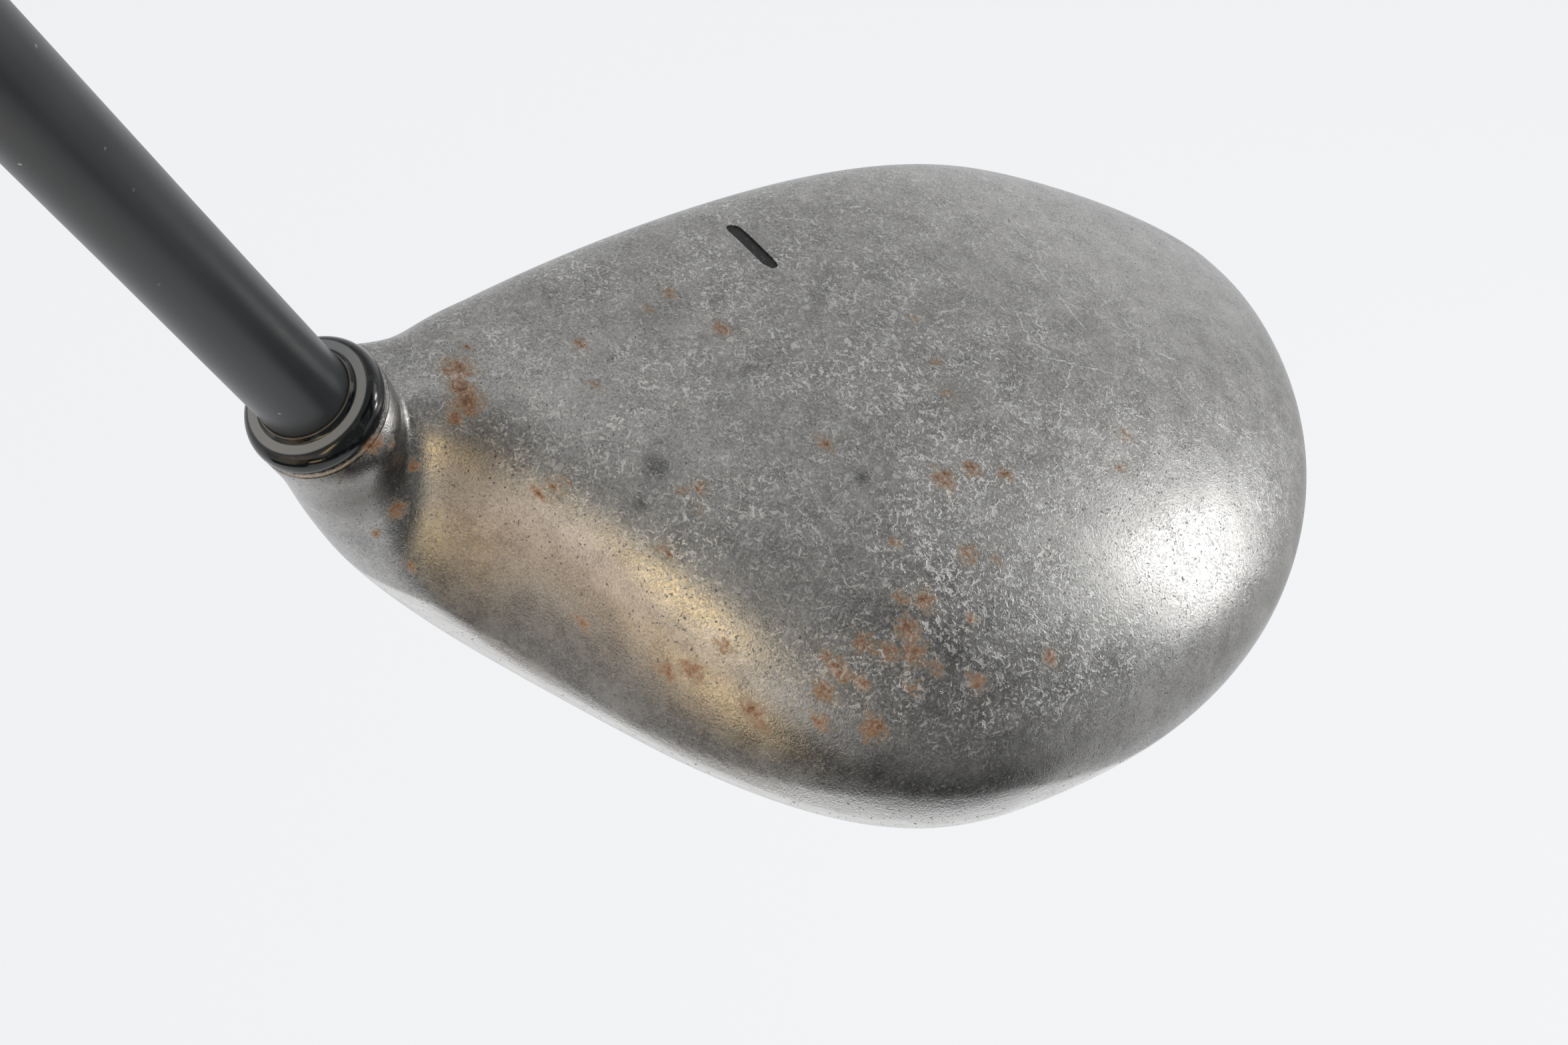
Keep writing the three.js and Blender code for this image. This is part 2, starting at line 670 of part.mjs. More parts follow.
// Tapered rubber grip with a bead at its mouth and two pairs of ring grooves
function grip() {
  const insideAt = (along) => shaftRadiusAt(along) + 2 * fitGap + tapeThickness;
  const mouth = insideAt(gripMouthAlong) + gripMouthWall;
  const upperStart = gripTopAlong - gripButtLength - gripUpperLength;
  const buttStart = gripTopAlong - gripButtLength;
  const beadTop = gripMouthAlong + gripMouthBeadLength;
  const outline = [
    [mouth, gripMouthAlong],
    [mouth + gripMouthBead, gripMouthAlong + gripMouthBeadShares[0] * gripMouthBeadLength],
    [mouth + gripMouthBead, gripMouthAlong + gripMouthBeadShares[1] * gripMouthBeadLength],
    [mouth, beadTop],
    [gripUpperRadius - (buttRadius - shaftRadiusAt(upperStart)), upperStart],
    [gripUpperRadius, buttStart],
    [gripButtRadius, gripTopAlong],
  ];
  const radiusAt = (along) => {
    const k = outline.findIndex((point, i) => i > 0 && point[1] >= along);
    const share = (along - outline[k - 1][1]) / (outline[k][1] - outline[k - 1][1]);
    return outline[k - 1][0] + share * (outline[k][0] - outline[k - 1][0]);
  };
  const grooveAlongs = [
    beadTop + gripGrooveSpacing,
    beadTop + 2 * gripGrooveSpacing,
    buttStart - 2 * gripGrooveSpacing,
    buttStart - gripGrooveSpacing,
  ];
  const grooved = [...outline];
  grooveAlongs.forEach((along) => {
    const radius = radiusAt(along);
    const half = gripGrooveWidth / 2;
    grooved.push([radiusAt(along - half), along - half]);
    grooved.push([radius - gripGrooveDepth, along]);
    grooved.push([radiusAt(along + half), along + half]);
  });
  grooved.sort((a, b) => a[1] - b[1]);
  grooved.push([insideAt(shaftTopAlong), gripTopAlong]);
  grooved.push([insideAt(shaftTopAlong), shaftTopAlong]);
  grooved.push([insideAt(gripMouthAlong), gripMouthAlong]);
  return turned('grip', grooved, gripRubber, roundSides);
}

// Butt cap with a vent hole, its stem let into the grip's end
function gripCap() {
  const rimBottom = gripTopAlong + fitGap;
  const stemRadius = shaftRadiusAt(shaftTopAlong) + fitGap + tapeThickness;
  const profile = [
    [ventRadius, rimBottom - capStemLength],
    [stemRadius, rimBottom - capStemLength],
    [stemRadius, rimBottom],
    [capRadius, rimBottom],
    [capRadius, rimBottom + capRimThickness],
    [(capRadius + capFlatRadius) / 2, rimBottom + capRimThickness + capShoulderShare * capCrown],
    [capFlatRadius, capTopAlong],
    [ventRadius, capTopAlong],
  ];
  return turned('grip_cap', profile, capRubber, roundSides);
}

const club = new THREE.Group();
club.add(toMesh('head_body', headBody(), castSteel));
club.add(toMesh('sole_plate', solePlate(), plateSteel));
club.add(toMesh('foam_core', foamCore(), yellowFoam));
club.add(toMesh('alignment_paint', dashPaint(), blackPaint));
club.add(toMesh('tip_plug', tipPlug(), blackGloss));

const alongShaft = new THREE.Group();
alongShaft.position.set(shaftGroundX, 0, 0);
alongShaft.quaternion.copy(shaftTurn);
alongShaft.add(shaft(), ferrule(), gripTape(), grip(), gripCap());
club.add(alongShaft);

export default club;
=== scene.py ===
# A right-handed fairway wood at address: hollow steel head, graphite shaft, moulded ferrule and
# rubber grip. Sizes are in millimetres up to the mesh, +X to the toe, +Y to the target, +Z up.
import math

import bpy
import numpy as np
from mathutils import Matrix


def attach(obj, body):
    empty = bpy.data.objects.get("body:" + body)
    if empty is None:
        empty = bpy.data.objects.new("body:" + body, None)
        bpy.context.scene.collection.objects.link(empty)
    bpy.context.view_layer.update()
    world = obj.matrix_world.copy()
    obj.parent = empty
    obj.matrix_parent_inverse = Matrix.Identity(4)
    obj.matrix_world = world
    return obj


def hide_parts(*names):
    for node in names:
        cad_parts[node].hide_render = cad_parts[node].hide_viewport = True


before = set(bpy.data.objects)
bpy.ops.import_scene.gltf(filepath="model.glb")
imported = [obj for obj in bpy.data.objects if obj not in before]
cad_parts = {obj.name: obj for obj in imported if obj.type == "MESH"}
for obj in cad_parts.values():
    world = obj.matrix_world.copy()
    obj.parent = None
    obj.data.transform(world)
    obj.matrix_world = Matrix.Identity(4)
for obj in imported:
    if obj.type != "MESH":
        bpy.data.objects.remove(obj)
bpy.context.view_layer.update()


# Head: a stainless casting with a face, crown, skirt, short neck and curved sole, tumbled to a
# dull grey. Its skin is one closed surface, with the seats for the sole plate, the plug, the
# score lines and the alignment dash sunk into it.
lie = math.radians(56.5)
loft = math.radians(16)
shaft_ground_x = -33.0
axis = np.array([-math.cos(lie), 0.0, math.sin(lie)])
across_axis = np.array([math.sin(lie), 0.0, math.cos(lie)])
ground_point = np.array([shaft_ground_x, 0.0, 0.0])

crown_height, crown_peak_x, crown_arc = 33.0, -12.2, 227.0
sole_arc, sole_flat = 250.0, 0.15
rim_height = 8.3
back_reach, back_peak_x, back_arc, back_power, back_soft = 55.9, -12.5, 49.2, 2.416, 14.95
face_forward, face_bulge, face_edge = 16.1, 280.0, 14.0
dome_forward, dome_peak_x, dome_arc = 28.1, -12.5, 262.0
toe_reach, toe_start, toe_height, toe_back = 55.4, 0.9, 15.2, 12.9
toe_plan_power, toe_side_power, toe_soft = 1.96, 2.46, 4.0
crown_front_power, crown_back_power, sole_front_power, sole_back_power = 2.2, 2.12, 2.5, 2.25
heel_start, neck_radius, neck_top, neck_straight = -39.0, 6.6, 30.7, 2.83
pulls = {"inner": 17.6, "outer": 17.8, "crown": 24.5, "sole": 31.1, "back": 24.6,
         "back_flare": 10.3, "face": 61.9, "flare": 0.55}
join_reach, tiny = 6.0, 1e-6
heel_run = (pulls["crown"] + pulls["sole"]) / 2
neck_run = neck_straight * heel_run / pulls["outer"]
neck_along = neck_top / math.sin(lie)
bore_radius = 4.6
fine_columns, head_columns = 1440, 300
face_end_x, face_fade, face_density, turn_density = 31, 20, 1.6, 7


def beside_axis(along, offset):
    """Points at a distance along the shaft's axis from the ground, moved square to it."""
    return ground_point + np.multiply.outer(along, axis) + np.multiply.outer(offset, across_axis)


def blend(start, end, pull_start, pull_end, share):
    """Cubic between two values that leaves and arrives with the given pulls."""
    square, cube = share**2, share**3
    return (start * (2 * cube - 3 * square + 1) + pull_start * (cube - 2 * square + share)
            + end * (3 * square - 2 * cube) + pull_end * (cube - square))


def crown_z(x):
    return crown_height - (x - crown_peak_x) ** 2 / (2 * crown_arc)


def sole_z(x):
    return x**2 / (2 * sole_arc) - sole_flat


def soft_part(x, width):
    """The positive part of x, rounded off over a width: (x + sqrt(x^2 + width^2)) / 2."""
    return (x + np.hypot(x, width)) / 2


def back_y(x):
    return -back_reach + soft_part(back_peak_x - x, back_soft) ** back_power / (2 * back_arc)


def face_y(x):
    return face_forward - x**2 / (2 * face_bulge)


def dome_y(x):
    return dome_forward - (x - dome_peak_x) ** 2 / (2 * dome_arc)


def slope(line, x, step=0.001):
    return (line(x + step) - line(x - step)) / (2 * step)


def heel_fields(share):
    """Section fields over the neck (share below 0) and the heel (0 to 1): the upper and lower
    rail points, back, front, middle, height share of the rim, distance to the face and weight of
    the face. The lower rail and the front stay straight over the neck and are cubics over the
    heel. The upper rail and the back are one cubic over both, which makes the fillet under the
    ferrule."""
    whole = (share * heel_run + neck_run) / (heel_run + neck_run)
    inner = beside_axis(neck_along, neck_radius)
    outer = beside_axis(neck_along - neck_straight, -neck_radius)
    top, bottom = crown_z(heel_start), sole_z(heel_start)
    stretch = (heel_run + neck_run) / heel_run
    crown_pull, back_pull = stretch * pulls["crown"], stretch * pulls["back"]
    neck, share = np.minimum(share, 0), np.maximum(share, 0)
    rails = [
        blend(inner[0], heel_start, -pulls["inner"] * axis[0], crown_pull, whole),
        blend(inner[2], top, -pulls["inner"] * axis[2],
              crown_pull * slope(crown_z, heel_start), whole),
        blend(outer[0], heel_start, -pulls["outer"] * axis[0], pulls["sole"], share)
        - pulls["outer"] * axis[0] * neck,
        blend(outer[2], bottom, -pulls["outer"] * axis[2],
              pulls["sole"] * slope(sole_z, heel_start), share) - pulls["outer"] * axis[2] * neck,
    ]
    widths = [
        blend(-neck_radius, back_y(heel_start), -pulls["back_flare"],
              back_pull * slope(back_y, heel_start), whole),
        blend(neck_radius, dome_y(heel_start), pulls["flare"],
              pulls["face"] * slope(dome_y, heel_start), share),
        0 * share,
        blend(0.5, (rim_height - bottom) / (top - bottom), 0, 0, share),
        blend(1.6 * neck_radius, face_y(heel_start), 0,
              pulls["face"] * slope(face_y, heel_start), share),
        blend(0, 1, 0, 0, np.clip(share, 0, 1)),
    ]
    return np.stack(rails + widths)


def body_fields(x):
    """The same fields over the body: arcs for the crown, sole, back and face, drawn together at
    the toe by 1 - run^n closing curves, one in plan and one in height."""
    whole = soft_part(toe_reach - toe_start, toe_soft)
    run = np.clip(soft_part(x - toe_start, toe_soft) / whole, 0, 1)
    wide = (1 - run**toe_plan_power) ** (1 / toe_plan_power)
    tall = (1 - run**toe_side_power) ** (1 / toe_side_power)
    rim = rim_height * tall + toe_height * (1 - tall)
    middle = -toe_back * (1 - wide)
    top = rim + (crown_z(x) - rim_height) * tall
    bottom = rim - (rim_height - sole_z(x)) * tall
    share = (rim - bottom) / np.maximum(top - bottom, tiny)
    gap = np.maximum(face_y(x) - middle, tiny)
    return np.stack([x, top, x, bottom, middle + back_y(x) * wide, middle + dome_y(x) * wide,
                     middle, share, gap, np.ones_like(x)])


def head_rings(runs, columns):
    """Rings of points round the head at runs from the join of heel and body. In a ring's plane
    the radius at each angle is a superellipse quarter, softly limited by the lofted face plane:
    (round^-14 + facing^14)^(-1/14). Points are spread evenly along the ring, closer where it
    turns and over the face, less so towards the toe."""
    heel = heel_fields(1 + np.minimum(runs, join_reach) / heel_run)
    body = body_fields(heel_start + np.maximum(runs, -join_reach))
    cross = np.clip((runs + join_reach) / (2 * join_reach), 0, 1)
    cross = cross**2 * (3 - 2 * cross)
    fields = heel * (1 - cross) + body * cross
    inner_x, inner_z, outer_x, outer_z, back, dome, middle, share, gap, weight = fields[..., None]
    height = np.maximum(np.hypot(inner_x - outer_x, inner_z - outer_z), tiny)
    up_x, up_z = (inner_x - outer_x) / height, (inner_z - outer_z) / height
    bottom = np.maximum(share * height, tiny)
    top = np.maximum(height - bottom, tiny)
    angle = np.linspace(0, 2 * np.pi, fine_columns + 1)[None, :]
    c, s = np.cos(angle), np.sin(angle)
    power = np.where(s > 0, np.where(c > 0, crown_front_power, crown_back_power),
                     np.where(c > 0, sole_front_power, sole_back_power))
    power = 2 + (power - 2) * weight
    sideways = np.where(c > 0, np.maximum(dome - middle, tiny), np.maximum(middle - back, tiny))
    upwards = np.where(s > 0, top, bottom)
    round_off = ((np.abs(c) / sideways) ** power + (np.abs(s) / upwards) ** power) ** (-1 / power)
    facing = np.maximum(0, (c * np.cos(loft * weight) + s * np.sin(loft * weight)) / gap)
    radius = (round_off**-face_edge + facing**face_edge) ** (-1 / face_edge)
    flat = np.stack([radius * c, radius * s], -1)
    step = np.diff(flat, axis=1)
    length = np.hypot(step[..., 0], step[..., 1])
    heading = np.unwrap(np.arctan2(step[..., 1], step[..., 0]), axis=1)
    turn = np.abs(np.diff(heading, axis=1, append=heading[:, :1] + 2 * np.pi))
    on_face = np.clip(2 - 2 * np.abs(radius - 1 / np.maximum(facing, 1e-9))[:, :-1], 0, 1)
    on_face *= weight * np.clip((face_end_x - inner_x) / face_fade, 0, 1)
    travelled = np.cumsum(length * (1 + face_density * on_face) + turn_density * turn, axis=1)
    travelled = np.concatenate([0 * travelled[:, :1], travelled], 1) / travelled[:, -1:]
    rows = np.arange(len(runs))[:, None]
    wanted = (np.arange(columns) / columns)[None, :] * (1 - tiny) + rows
    known = (travelled * (1 - tiny) + rows).ravel()
    forward = np.interp(wanted.ravel(), known, flat[..., 0].ravel()).reshape(wanted.shape)
    upward = np.interp(wanted.ravel(), known, flat[..., 1].ravel()).reshape(wanted.shape)
    rise = bottom + upward
    return np.stack([outer_x + up_x * rise, middle + forward, outer_z + up_z * rise], -1)


def ring_faces(rows, columns):
    """Two triangles for each cell of a grid that closes on itself round its columns."""
    i, j = np.meshgrid(np.arange(rows - 1), np.arange(columns), indexing="ij")
    a = i * columns + j
    b = i * columns + (j + 1) % columns
    c, d = a + columns, b + columns
    return np.concatenate([np.stack([a, b, d], -1), np.stack([a, d, c], -1)]).reshape(-1, 3)


def point_normals(points, faces):
    """Area-weighted mean of the normals of the faces round each point."""
    corners = points[faces]
    normal = np.cross(corners[:, 1] - corners[:, 0], corners[:, 2] - corners[:, 0])
    total = np.zeros_like(points)
    for k in range(3):
        np.add.at(total, faces[:, k], normal)
    return total / np.maximum(np.linalg.norm(total, axis=1, keepdims=True), 1e-12)


def draw_outline(points, faces, normals, level, probe=0.01):
    """Slides points along the skin so that no edge crosses the outline where level is zero: the
    nearer end of each crossing edge goes down the level's gradient, taken in the tangent plane.
    Returns the points and which faces lie inside, where level is negative."""
    points = points.copy()
    value = level(points)
    edges = faces[:, [0, 1, 1, 2, 2, 0]].reshape(-1, 2)
    crossing = edges[value[edges[:, 0]] * value[edges[:, 1]] < 0]
    nearer = np.abs(value[crossing[:, 0]]) < np.abs(value[crossing[:, 1]])
    moved = np.unique(np.where(nearer, crossing[:, 0], crossing[:, 1]))
    normal = normals[moved]
    for _ in range(3):
        here = points[moved]
        base = level(here)
        gradient = np.stack([level(here + d) - base for d in probe * np.eye(3)], -1) / probe
        gradient -= normal * (gradient * normal).sum(1, keepdims=True)
        size = np.maximum((gradient**2).sum(1, keepdims=True), tiny)
        points[moved] = here - base[:, None] * gradient / size
    value[moved] = 0
    middle = level(points[faces].mean(1))
    total = value[faces].sum(1)
    return points, np.where(np.abs(total) > 1e-9, total, middle) < 0


def rim_edges(faces, inside):
    """Directed edges of the inside faces whose other side is outside."""
    edges = faces[inside][:, [0, 1, 1, 2, 2, 0]].reshape(-1, 2)
    size = faces.max() + 1
    forward, reverse = edges @ [size, 1], edges @ [1, size]
    return edges[~np.isin(reverse, forward)]


def sink(points, faces, normals, marks, level, depth):
    """Pushes the faces inside an outline in by a depth, with an upright wall round them."""
    points, inside = draw_outline(points, faces, normals, level)
    rim = rim_edges(faces, inside)
    floor = np.unique(faces[inside])
    moved = np.arange(len(points))
    moved[floor] = len(points) + np.arange(len(floor))
    points = np.concatenate([points, points[floor] - depth * normals[floor]])
    normals = np.concatenate([normals, normals[floor]])
    marks = np.concatenate([marks, np.ones(len(floor))])
    faces = faces.copy()
    faces[inside] = moved[faces[inside]]
    a, b = rim.T
    walls = np.concatenate([np.stack([a, b, moved[b]], -1), np.stack([a, moved[b], moved[a]], -1)])
    return points, np.concatenate([faces, walls]), normals, marks


def tile(points, faces, normals, level, high, low):
    """Closed solid under the part of the skin inside an outline, between two depths."""
    points, inside = draw_outline(points, faces, normals, level)
    rim = rim_edges(faces, inside)
    used, top = np.unique(faces[inside], return_inverse=True)
    place = np.zeros(len(points), int)
    place[used] = np.arange(len(used))
    top = top.reshape(-1, 3)
    count = len(used)
    a, b = place[rim].T
    walls = np.concatenate([np.stack([b, a, a + count], -1),
                            np.stack([b, a + count, b + count], -1)])
    solid = np.concatenate([points[used] - high * normals[used],
                            points[used] - low * normals[used]])
    return solid, np.concatenate([top, top[:, ::-1] + count, walls])


def put_mesh(name, points, faces, sharp=35):
    """A mesh object from millimetre points. Edges over the sharp angle stay crisp."""
    mesh = bpy.data.meshes.new(name)
    mesh.from_pydata((points * 0.001).tolist(), [], faces.tolist())
    mesh.shade_smooth()
    mesh.set_sharp_from_angle(angle=math.radians(sharp))
    piece = bpy.data.objects.new(name, mesh)
    bpy.context.scene.collection.objects.link(piece)
    return piece


def mark_points(piece, name, values):
    """One number a point, for the material to read."""
    attribute = piece.data.attributes.new(name, "FLOAT", "POINT")
    attribute.data.foreach_set("value", np.asarray(values, np.float32))


toe_runs = toe_start - heel_start + (toe_reach - toe_start) * np.sin(np.linspace(0, np.pi / 2, 96))
runs = np.concatenate([np.linspace(-heel_run - neck_run, 0, 66)[:-1],
                       np.linspace(0, toe_start - heel_start, 76)[:-1], toe_runs[:-1]])
rings = head_rings(runs, head_columns)
neck_middle = beside_axis(neck_along, 0.0)
spokes = (rings[0] - neck_middle) / neck_radius
# The neck's mouth: the floor and wall of the shaft's bore, the flat, and its rounded edge.
mouth_depth, mouth_round = 3.0, 0.3
mouth_radii = np.array([0.5, bore_radius, bore_radius, 5.9, 6.35, 6.52])[:, None, None]
mouth_drops = np.array([mouth_depth, mouth_depth, 0.0, 0.0, 0.05, 0.16])[:, None, None]
mouth_rings = neck_middle + mouth_radii * spokes - mouth_drops * axis
rings[0] -= mouth_round * axis
skin_rings = np.concatenate([mouth_rings, rings])
toe_tip = np.array([toe_reach, -toe_back, toe_height])
skin = np.concatenate([skin_rings.reshape(-1, 3), [neck_middle - mouth_depth * axis, toe_tip]])
rows = len(skin_rings)
turning = np.arange(head_columns)
following = (turning + 1) % head_columns
last = (rows - 1) * head_columns
skin_faces = np.concatenate([
    ring_faces(rows, head_columns),
    np.stack([np.full(head_columns, len(skin) - 2), following, turning], -1),
    np.stack([last + turning, last + following, np.full(head_columns, len(skin) - 1)], -1)])
skin[:, 2] = np.maximum(skin[:, 2], 0)
skin_normals = point_normals(skin, skin_faces)

plate_middle, plate_half, plate_power = np.array([6.0, -16.0]), np.array([26.0, 22.0]), 2.3
plate_seat_depth, plate_thickness, glue_gap = 2.6, 2.1, 0.3
plug_seat_depth, plug_thickness, plug_radius = 3.0, 2.5, 4.3
dash_middle, dash_half, dash_depth = np.array([-5.2, -0.2]), np.array([0.75, 3.75]), 0.6
paint_gap, paint_top, paint_foot = 0.04, 0.16, 0.5
line_count, line_pitch, lowest_line = 7, 2.9, 6.6
line_half_length, line_middle_x, line_half_width, line_depth = 22.0, 2.0, 0.4, 0.45
sole_side_z, crown_side_z, face_side, far_off = 9, 25, 9, 9.0


def plate_level(grow):
    """Signed distance along rays from the plate's middle to its superellipse outline."""
    def level(points):
        away = points[:, :2] - plate_middle
        ratio = (np.abs(away / (plate_half + grow)) ** plate_power).sum(1) ** (1 / plate_power)
        far = np.hypot(*away.T) * (1 - 1 / np.maximum(ratio, tiny))
        far = np.where(ratio > 0.2, far, -far_off)
        return np.where(points[:, 2] < sole_side_z, far, far_off)
    return level


def bore_level(radius):
    """Distance from the shaft's axis less a radius, on the sole side only."""
    def level(points):
        away = points - ground_point
        far = np.linalg.norm(away - np.outer(away @ axis, axis), axis=1)
        return np.where(points[:, 2] < sole_side_z, far - radius, far_off)
    return level


def dash_level(grow):
    """Signed distance to a straight slot with round ends on the crown."""
    def level(points):
        away = np.abs(points[:, :2] - dash_middle)
        reach = np.maximum(away[:, 1] - (dash_half[1] - dash_half[0]), 0)
        far = np.hypot(away[:, 0], reach) - dash_half[0] - grow
        return np.where(points[:, 2] > crown_side_z, far, far_off)
    return level


def score_level(height):
    """Signed distance to one straight score line with round ends on the face."""
    def level(points):
        reach = np.maximum(np.abs(points[:, 0] - line_middle_x) - line_half_length, 0)
        up = (points[:, 2] - height) / math.cos(loft)
        far = np.hypot(reach, up) - line_half_width
        return np.where(points[:, 1] > face_y(points[:, 0]) - face_side, far, far_off)
    return level


seats = [(plate_level(0.0), plate_seat_depth), (bore_level(bore_radius), plug_seat_depth),
         (dash_level(0.0), dash_depth)]
seats += [(score_level(lowest_line + line_pitch * k), line_depth) for k in range(line_count)]
cast, cast_faces, cast_normals, cast_marks = skin, skin_faces, skin_normals, np.zeros(len(skin))
for seat_level, seat_depth in seats:
    cast, cast_faces, cast_normals, cast_marks = sink(
        cast, cast_faces, cast_normals, cast_marks, seat_level, seat_depth)
head = put_mesh("head", cast, cast_faces)
mark_points(head, "recess", cast_marks)

# Places on the head where rust has bloomed and where the steel is stained dark, as x, y, z and
# radius. A point's share falls off as a bell round each place.
rust_places = np.array([
    [-39.7, -1.4, 31.3, 1.7], [-40.6, -3.4, 30.9, 1.3], [-40.8, -4.8, 30.5, 1.8],
    [-42.4, -5.3, 29.7, 0.9], [-52.1, -6.5, 31.3, 1.0], [-51.4, -6.5, 31.4, 0.8],
    [-49.7, -6.5, 30.4, 0.6], [-46.6, -5.7, 25.8, 0.7], [-48.6, -6.6, 21.9, 1.1],
    [-50.5, -6.3, 19.4, 0.6], [-47.5, -8.3, 15.5, 0.6], [-39.0, -14.7, 26.6, 0.8],
    [-37.8, -15.2, 27.6, 0.8], [-37.0, -15.7, 28.0, 0.6], [-38.4, -22.8, 16.9, 0.9],
    [-34.8, -31.1, 16.6, 1.2], [-33.4, -33.0, 17.7, 1.2], [-32.6, -25.7, 26.0, 0.8],
    [-27.6, -23.0, 29.5, 0.8], [-29.2, -22.2, 29.3, 0.6], [-28.6, -24.7, 28.6, 0.6],
    [-28.4, -4.4, 32.3, 0.9], [-15.3, -8.8, 32.7, 1.1], [-37.4, 0.7, 31.6, 0.6],
    [-30.0, -9.4, 31.8, 0.6], [-20.0, -3.5, 32.8, 0.6], [-16.9, -2.5, 32.9, 0.8],
    [-17.3, -42.3, 24.0, 1.4], [-17.7, -44.0, 22.8, 1.6], [-14.7, -41.0, 25.1, 1.3],
    [-21.6, -41.3, 23.3, 1.2], [-13.1, -48.3, 20.5, 1.1], [-4.9, -49.3, 20.4, 0.9],
    [-23.0, -46.4, 17.6, 1.5], [-24.2, -41.9, 21.4, 1.2], [-22.8, -43.6, 20.8, 0.8],
    [-30.6, -38.5, 16.3, 1.2], [-30.2, -39.7, 15.0, 0.8], [-11.1, -44.0, 23.8, 0.7],
    [-19.8, -43.1, 22.8, 1.1], [3.9, -15.2, 31.7, 0.6], [2.2, -20.5, 31.1, 0.7],
    [0.7, -24.3, 30.6, 0.6], [-5.9, -32.2, 28.9, 1.4], [-2.5, -32.2, 28.8, 1.1],
    [0.5, -33.8, 28.2, 0.9], [16.6, -33.9, 26.5, 0.8], [13.7, -36.8, 25.9, 0.7],
    [-8.1, -39.3, 26.3, 1.0], [-26.6, -43.2, 17.3, 1.0], [-25.8, -42.1, 19.8, 1.1],
    [-24.8, -40.4, 22.2, 0.8], [-16.7, -39.9, 25.4, 0.8], [-16.3, -46.0, 21.7, 0.8],
    [-18.9, -46.1, 20.7, 0.8], [-14.3, -35.6, 27.5, 0.7], [-5.7, -40.6, 25.8, 0.6],
    [-14.5, -24.5, 30.7, 0.9], [-31.4, -34.0, 20.9, 0.8],
])
stain_places = np.array([[-29.8, -19.2, 30.0, 1.6], [-38.2, -15.9, 26.7, 0.9],
                         [-32.8, -21.3, 28.2, 0.8], [-13.4, -29.0, 29.6, 1.1]])
# Brown patches on the heel beside the neck and on the neck's outer side: painted shade in the
# fillet and under the neck, with some grime.
shade_and_grime_places = np.array([[-42.3, -8.6, 27.6, 4.6], [-53.0, -6.6, 25.0, 4.2],
                         [-54.5, -6.5, 29.5, 3.0]])
# Scratches longer than a scuff, from one x, y to another.
scratches = [
    (23.0, -6.9, 23.4, -11.1), (23.4, -11.1, 22.6, -15.4), (22.6, -15.4, 21.9, -21.8),
    (21.9, -16.7, 24.2, -19.1), (28.8, -19.6, 27.3, -24.8), (25.8, -20.9, 27.7, -23.8),
    (13.3, -23.1, 21.5, -27.6), (17.4, -24.7, 12.8, -28.2), (12.8, -28.2, 9.0, -31.9),
    (15.8, -16.6, 13.7, -22.5), (6.5, -15.4, 9.9, -15.5), (28.8, -25.2, 31.0, -27.2),
]


def bloom(points, places):
    """Largest of the bells exp(-(distance / radius)^2) round the places."""
    away = points[:, None, :] - places[None, :, :3]
    return np.exp(-(away**2).sum(-1) / places[:, 3] ** 2).max(1)


mark_points(head, "rust", bloom(cast, rust_places))
mark_points(head, "stain", bloom(cast, stain_places))
mark_points(head, "shade_and_grime", bloom(cast, shade_and_grime_places))
# Wear is full on skin that looks up and fades towards the toe. The skirt, below a line round the
# back, is painted lighter: a painted reflection of the pale floor below.
wear = np.clip((cast_normals[:, 2] - 0.3) / 0.4, 0.12, 1) * np.clip((75 - cast[:, 0]) / 70, 0, 1)
mark_points(head, "wear", wear)
skirt_top = np.interp(cast[:, 0], [-46, -40, -36, -30, -22, -17, -11, -4, 3, 10, 28, 55],
                      [11.5, 9.0, 8.6, 9.7, 11.4, 11.6, 10.8, 9.2, 8.0, 7.7, 8.9, 12.0])
skirt = np.clip((skirt_top - cast[:, 2]) / 0.5 + 0.5, 0, 1) * (cast_normals[:, 1] < 0.3)
skirt *= np.clip((cast_normals[:, 2] + 0.8) / 0.4, 0.3, 1)
mark_points(head, "skirt", skirt)


def linear(code):
    """Linear colour, with alpha, from an sRGB hex code."""
    parts = np.array([int(code[k:k + 2], 16) for k in (1, 3, 5)]) / 255
    return (*np.where(parts > 0.04045, ((parts + 0.055) / 1.055) ** 2.4, parts / 12.92), 1.0)


def add_node(tree, kind, settings=None, **inputs):
    """Adds one node, with its settings and its inputs by name or n-th socket, values or links."""
    node = tree.nodes.new("ShaderNode" + kind)
    for key, value in (settings or {}).items():
        setattr(node, key, value)
    for key, value in inputs.items():
        socket = node.inputs[int(key[1:]) if key[1:].isdigit() else key.replace("_", " ")]
        if isinstance(value, bpy.types.NodeSocket):
            tree.links.new(value, socket)
        else:
            socket.default_value = value
    return node


def start_material(name):
    """A named material with an emptied tree."""
    material = bpy.data.materials.new(name)
    material.use_nodes = True
    material.node_tree.nodes.clear()
    return material, material.node_tree


def finish_material(piece, material, shader):
    """Links the shader to the output and gives the material to a piece."""
    add_node(material.node_tree, "OutputMaterial", Surface=shader)
    piece.data.materials.clear()
    piece.data.materials.append(material)


# The functions below add to the tree of the material that was started last.
def object_place(scale=(1, 1, 1)):
    """Object coordinates in metres, times a scale along each axis."""
    place = add_node(tree, "TexCoord").outputs["Object"]
    return add_node(tree, "Mapping", Vector=place, Scale=scale).outputs[0]


def noise(vector, scale, detail, roughness=0.5):
    return add_node(tree, "TexNoise", Vector=vector, Scale=scale, Detail=detail,
                    Roughness=roughness).outputs["Fac"]


def mark(name):
    """The number that mark_points gave to each point."""
    return add_node(tree, "Attribute", {"attribute_name": name}).outputs["Fac"]


def combine(kind, *values):
    """One Math node on two or three values."""
    sockets = {f"_{k}": value for k, value in enumerate(values)}
    return add_node(tree, "Math", {"operation": kind}, **sockets).outputs[0]


